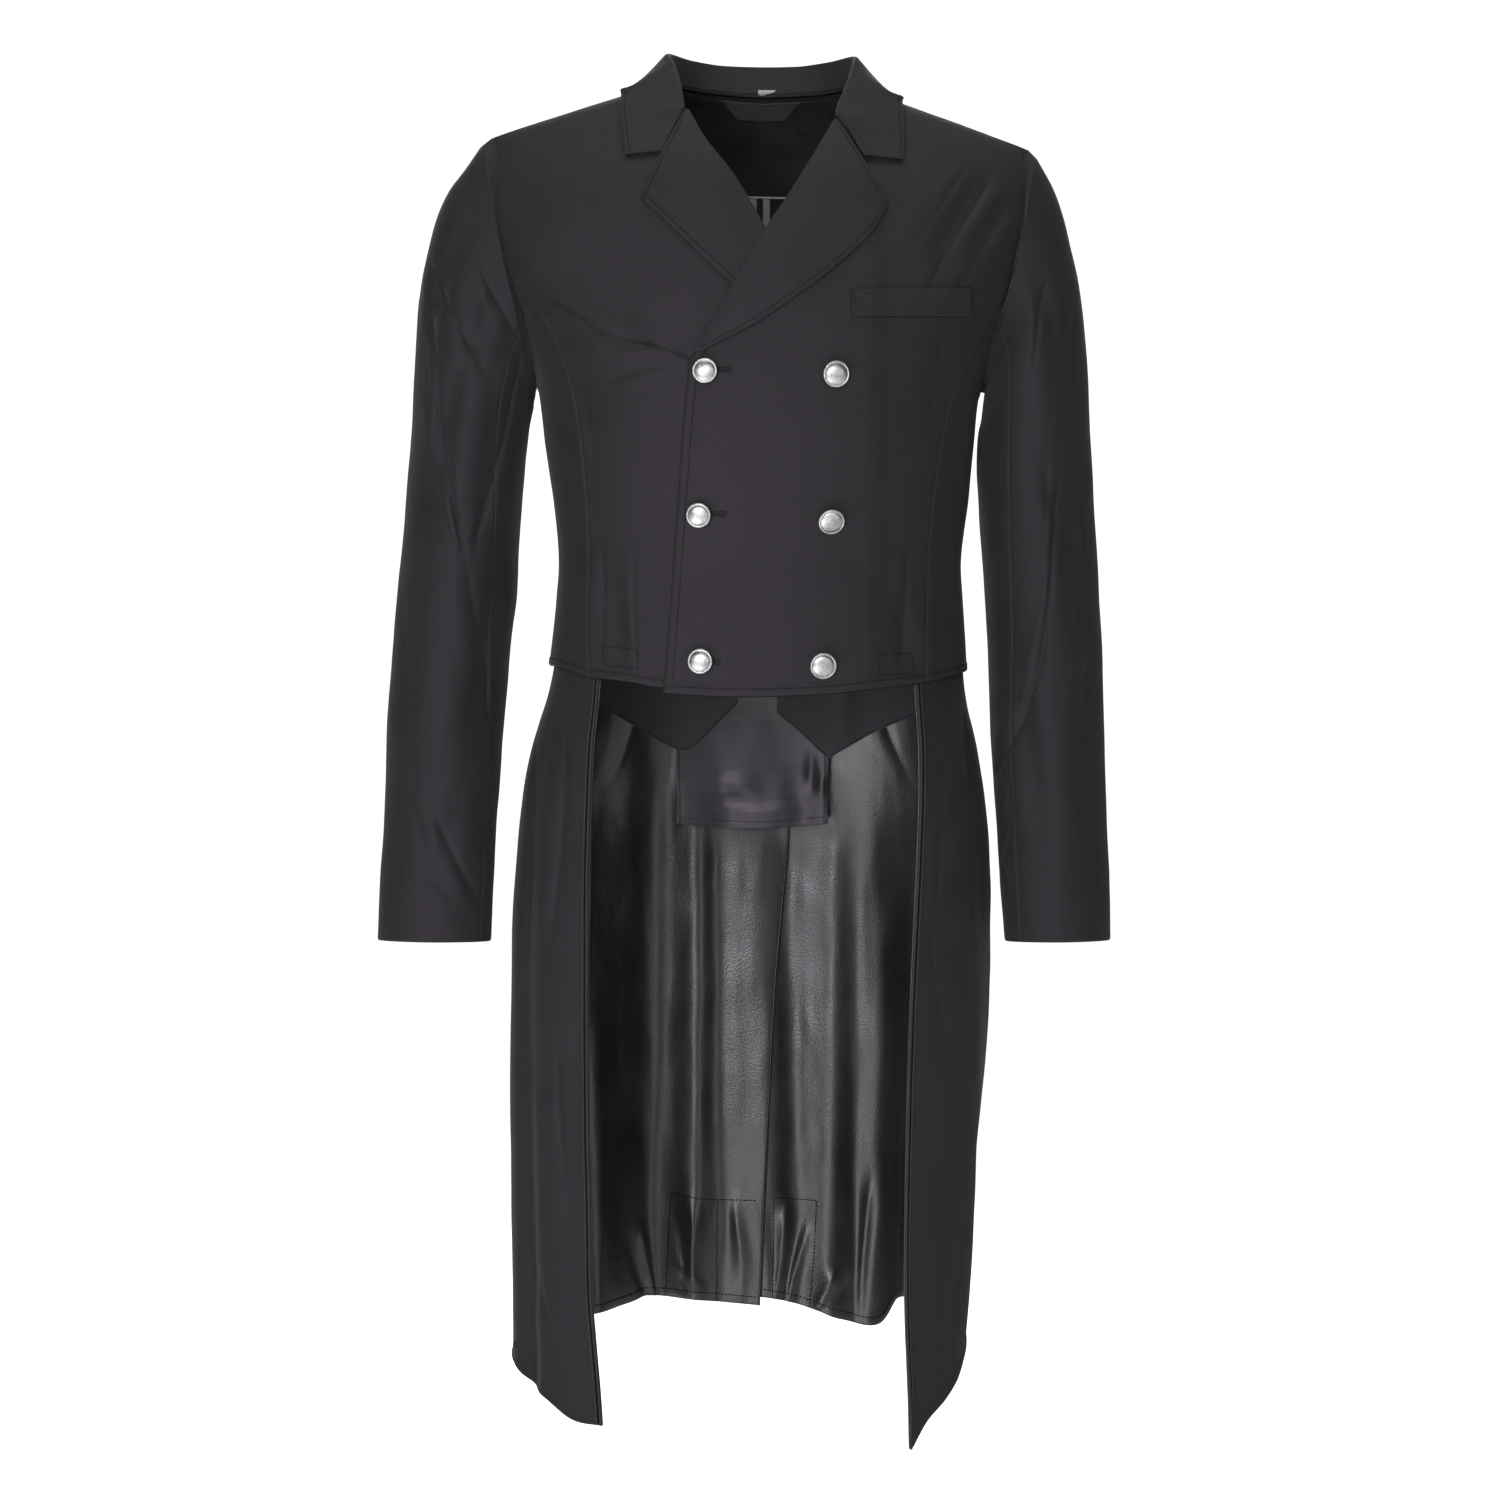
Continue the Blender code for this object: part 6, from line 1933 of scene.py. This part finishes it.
def neck_label(mats):
    """Blank satin label, sewn to the back lining under the collar."""
    middle, top_half, foot_half, top, foot = LABEL
    cols, rows = 40, 16
    near, far = [], []
    for i in range(rows + 1):
        line, back = [], []
        z = foot + (top - foot) * i / rows
        half = foot_half + (top_half - foot_half) * i / rows
        for j in range(cols + 1):
            x = middle + half * (2 * j / cols - 1)
            point, normal = on_panel("back_lining", x, z - LEAN * x)
            puff = 0.35 + 0.25 * noise.noise(Vector((x, z, 0)) / 12)
            line.append(tuple(point + normal * (SKIN + puff * MM)))
            back.append(tuple(point + normal * puff * MM))
        near.append(line)
        far.append(back)
    near, far = np.array(near), np.array(far)
    PANELS["label"] = (near, normals_of(near, near - far))
    rows = [inset("label", side, 1.4 * MM) for side in ("foot", "top", "first", "last")]
    border = sewing_for("neck_label", rows, mats["satin_thread"], "satin", pitch=2.2 * MM,
                        radius=0.2 * MM)
    cloth("neck_label", (near, far), [mats["label"]], "satin",
          [border])


def size_tab(mats):
    """Blank tab of white tape that hangs from the collar."""
    low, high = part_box("size_tab")
    rows, cols = 8, 24
    grid, back = [], []
    for i in range(rows + 1):
        z = low[2] + (high[2] - low[2]) * i / rows
        y = (high[1] + low[1]) / 2 - 0.75 * MM + 0.15 * MM * math.sin(i)
        xs = [low[0] + (high[0] - low[0]) * j / cols for j in range(cols + 1)]
        ys = [y - 0.25 * MM * math.sin(math.pi * j / cols) for j in range(cols + 1)]
        grid.append([(x, front, z) for x, front in zip(xs, ys)])
        back.append([(x, front + 0.8 * MM, z) for x, front in zip(xs, ys)])
    cloth("size_tab", (np.array(grid), np.array(back)), [mats["tape"]],
          "tape")


def welts(mats):
    cols, rows = 16 * FINE, 4 * FINE
    grid, normals = [], []
    for i in range(rows + 1):
        samples = []
        for j in range(cols + 1):
            low, high = spline(WELT[2:4], j / cols), spline(WELT[0:2], j / cols)
            x, z = low.lerp(high, i / rows)
            samples.append(on_panel("front_left", x, z - lean_at(x, z * MM), 2.0 * MM))
        grid.append([point for point, _ in samples])
        normals.append([normal for _, normal in samples])
    grids = panel("chest_welt", grid, normals, 1.7 * MM, turning=True)
    threads = Threads()
    for side in ("first", "last"):
        threads.row(inset("chest_welt", side, 2.2 * MM), pitch=2.0 * MM)
    # Dark cords just under the welt's four edges: a painted shadow line round the welt.
    for side in ("first", "last", "foot", "top"):
        line = resampled(inset("chest_welt", side, 0.3 * MM, out=-1.2 * MM), CORD_STEP)
        threads.tube(line, 0.7 * MM, 0.6)
    sewing = dress(threads.made("sewing_and_shadow_chest_welt", mats["thread"]), "cloth")
    cloth("chest_welt", grids, [mats["wool"]], extra=[sewing])


def buttonholes(mats):
    """Thread-bound keyhole buttonholes on the overlapping front."""
    threads = Threads()
    for outer_x, eye_x, z in BUTTONHOLES:
        loop = []
        for k in range(13):
            turn = math.pi * (k / 12 * 1.5 - 0.75)
            loop.append((eye_x + EYELET * math.cos(turn) - 1.2, z + EYELET * math.sin(turn)))
        keys = [(outer_x, z - 0.8)] + loop + [(outer_x, z + 0.8)]
        path = resampled([on_panel("front_left", x, h) for x, h in keys], 0.6 * MM)
        centre = on_panel("front_left", eye_x - 1.2, z)[0]
        for point, normal in path:
            away = point - centre
            away -= normal * away.dot(normal)
            along_slit = abs(away.z) < 1.6 * MM and away.x < -1.5 * MM
            out = Vector((0, 0, math.copysign(1, away.z))) if along_slit else away.normalized()
            threads.stitch(point - out * 0.2 * MM, point + out * 1.1 * MM, normal, 0.2 * MM)
        slit = [on_panel("front_left", x, z, 0.2 * MM) for x in (outer_x, eye_x)]
        threads.tube(resampled(slit, 1.0 * MM), 0.42 * MM, 0.5)
    return dress(threads.made("buttonholes", mats["thread"]), "cloth")


# Button section: radius, height above the cloth
BUTTON_SECTION = [(0, 0.4), (2.0, 0.4), (2.0, 2.5), (4.0, 2.6), (9.4, 2.6), (10.2, 2.9),
                  (10.65, 3.4), (10.75, 3.8), (10.65, 4.3), (10.2, 4.8), (9.7, 4.95), (9.35, 4.8),
                  (9.1, 4.65), (8.8, 4.85), (8.2, 5.3), (7.0, 5.8), (5.5, 6.2), (3.8, 6.5),
                  (2.0, 6.7), (0, 6.75)]
GROOVE = (10, 12)          # rows of the section that stay dark
FLUTED = (6, 10)           # rows of the section that carry the fluted rim
FLUTES = 44
FLUTE_SHAPE = (0.0, 0.3, 0.3, 0.0)
BUTTON_SIZE = (0.94, 0.94, 0.94, 1.0, 1.0, 1.0)   # share of the full width
SHANK = 6.5 * MM


def button_points(index, x, z, sides_round):
    """Points of a button's turned section, tilted on its shank, with a middle at each end."""
    place, normal = on_panel("front_left", x, z)
    hang = math.radians(BUTTON_TILT[index - 1])
    right = normal.cross(Vector((0, 0, 1))).normalized()
    axis = min((Matrix.Rotation(turn, 3, right) @ normal for turn in (hang, -hang)),
               key=lambda way: way.z)
    up = right.cross(axis)
    lift = SHANK * math.sin(hang)
    base = place + normal * max(lift - 1.4 * MM, 0)
    points = [base - axis * lift]
    for row, (radius, height) in enumerate(BUTTON_SECTION[1:-1], 1):
        for k in range(sides_round):
            angle = 2 * math.pi * k / sides_round
            spoke = right * math.cos(angle) + up * math.sin(angle)
            fluted = FLUTED[0] <= row < FLUTED[1]
            wide = radius + (FLUTE_SHAPE[k % len(FLUTE_SHAPE)] if fluted else 0)
            wide *= BUTTON_SIZE[index - 1]
            points.append(base + axis * height * MM + spoke * wide * MM)
    points.append(base + axis * BUTTON_SECTION[-1][1] * MM)
    return [tuple(point) for point in points]


def button_faces(sides_round, last):
    """Faces between the rings of a button, and which of them lie in the dark groove."""
    faces, kinds = [], []
    rings = len(BUTTON_SECTION) - 2
    for k in range(sides_round):
        n = (k + 1) % sides_round
        faces.append((0, 1 + n, 1 + k))
        kinds.append(0)
        for r in range(rings - 1):
            a, b = 1 + r * sides_round, 1 + (r + 1) * sides_round
            faces.append((a + k, a + n, b + n, b + k))
            kinds.append(1 if GROOVE[0] <= r < GROOVE[1] else 0)
        a = 1 + (rings - 1) * sides_round
        faces.append((a + k, a + n, last))
        kinds.append(0)
    return faces, kinds


def button(index, x, z, mats):
    """Turned metal button with a fluted rim that hangs a little on its thread shank."""
    sides_round = FLUTES * len(FLUTE_SHAPE)
    points = button_points(index, x, z, sides_round)
    faces, kinds = button_faces(sides_round, len(points) - 1)
    mesh = bpy.data.meshes.new("dressed_button_%d" % index)
    mesh.from_pydata(points, [], faces)
    mesh.polygons.foreach_set("material_index", kinds)
    dress(finished(mesh, [mats["metal"], mats["groove"]]), "metal", "button_%d" % index)


def made_materials():
    return {
        "wool": wool("wool_cloth", (0.0092, 0.0082, 0.0096), 0.06),
        "inside": wool("coat_inside", (0.0070, 0.0064, 0.0074), 0.04, 1300.0, 0.08),
        "leather": faux_leather("grained_faux_leather"),
        "lining": wool("plain_lining", (0.0100, 0.0092, 0.0105), 0.06, 1500.0, 0.10),
        # The facings' cloth is lighter than the coat cloth: painted light that makes up for the
        # shade they lie in under the front hem.
        "facing": wool("facing_cloth_with_painted_light", (0.0190, 0.0170, 0.0200), 0.08, 1700.0),
        "satin": satin("dark_satin", (0.012, 0.011, 0.013), (0.020, 0.018, 0.022), 0.32),
        "label": satin("label_satin", (0.030, 0.030, 0.032), (0.042, 0.042, 0.045), 0.42),
        "thread": thread("sewing_thread", (0.0024, 0.0022, 0.0025), 0.8),
        "satin_thread": thread("satin_thread", (0.0040, 0.0036, 0.0042), 0.7),
        "lining_thread": thread("lining_thread", (0.0022, 0.0020, 0.0023), 0.7),
        "pale_thread": thread("pale_thread", (0.42, 0.41, 0.43), 0.45),
        "piping": thread("edge_piping", (0.026, 0.024, 0.027), 0.6, 900.0),
        "strip": wool("pale_strip", (0.28, 0.27, 0.29), 0.1, 1500.0, 0.10),
        "tape": tape("white_tape"),
        "metal": brushed("brushed_metal"),
        "groove": edge_metal("button_groove"),
    }


# --------------------------------------------------------------------- stage

def round_mesh(name, profile, material, sides_round=48):
    """Surface turned round the upright axis from (radius, height) pairs."""
    points, faces = [], []
    for radius, z in profile:
        for k in range(sides_round):
            angle = 2 * math.pi * k / sides_round
            points.append((radius * math.cos(angle), radius * math.sin(angle), z))
    for r in range(len(profile) - 1):
        for k in range(sides_round):
            n = (k + 1) % sides_round
            a, b = r * sides_round, (r + 1) * sides_round
            faces.append((a + k, b + k, b + n, a + n))
    faces.append(tuple(range(sides_round)))
    mesh = bpy.data.meshes.new(name)
    mesh.from_pydata(points, [], faces)
    mesh.shade_smooth()
    mesh.materials.append(material)
    thing = placed(mesh)
    return thing


def backdrop():
    """Pale floor, and a pale wall round it that only the camera sees."""
    profile = [(FLOOR_CENTRE, FLOOR), (BOWL_FLAT, FLOOR)]
    for k in range(1, 13):
        turn = math.pi / 2 * k / 12
        profile.append((BOWL_FLAT + BOWL_BEND * math.sin(turn),
                        FLOOR + BOWL_BEND * (1 - math.cos(turn))))
    profile += [(BOWL_FLAT + BOWL_BEND, 6.0), (6.0, 9.0), (FLOOR_CENTRE, 10.0)]
    bowl = round_mesh("studio_bowl", profile, plain_wall("studio_paint", 0.92, WALL_GLOW))
    bowl.visible_diffuse = False
    bowl.visible_glossy = False
    bowl.visible_shadow = False
    low = FLOOR - 0.01
    bounce = round_mesh("studio_floor", [(FLOOR_CENTRE, low), (4.0, low)],
                        plain_wall("floor_paint", 0.9, FLOOR_GLOW))
    bounce.visible_camera = False


def softbox(name, place, target, size, energy):
    light = bpy.data.lights.new(name, "AREA")
    light.shape = "RECTANGLE"
    light.size, light.size_y = size
    light.energy = energy
    thing = placed(light)
    thing.location = place
    toward = Vector(target) - Vector(place)
    thing.rotation_euler = toward.to_track_quat("-Z", "Y").to_euler()


def studio():
    scene = bpy.context.scene
    world = bpy.data.worlds.new("studio")
    world.use_nodes = True
    ground = world.node_tree.nodes["Background"]
    ground.inputs["Color"].default_value = (1, 1, 1, 1)
    ground.inputs["Strength"].default_value = SKY
    scene.world = world
    scene.view_settings.view_transform = "Standard"
    for row in LIGHTS:
        softbox(*row)
    camera = bpy.data.cameras.new("camera")
    camera.sensor_width = 36
    camera.lens = LENS
    camera.dof.use_dof = False
    view = placed(camera)
    view.location = CAMERA
    view.rotation_euler = (math.pi / 2, 0, 0)
    scene.camera = view


def main():
    mats = made_materials()
    lined_back(mats)
    for side in ("right", "left"):
        for make in (fronts, sides, backs, lapels, sleeves, tails, facings):
            make(side, mats)
    for make in (collars, flaps, neck_label, size_tab, welts):
        make(mats)
    for index, (x, z) in enumerate(BUTTONS, 1):
        button(index, x, z, mats)
    backdrop()
    studio()


main()
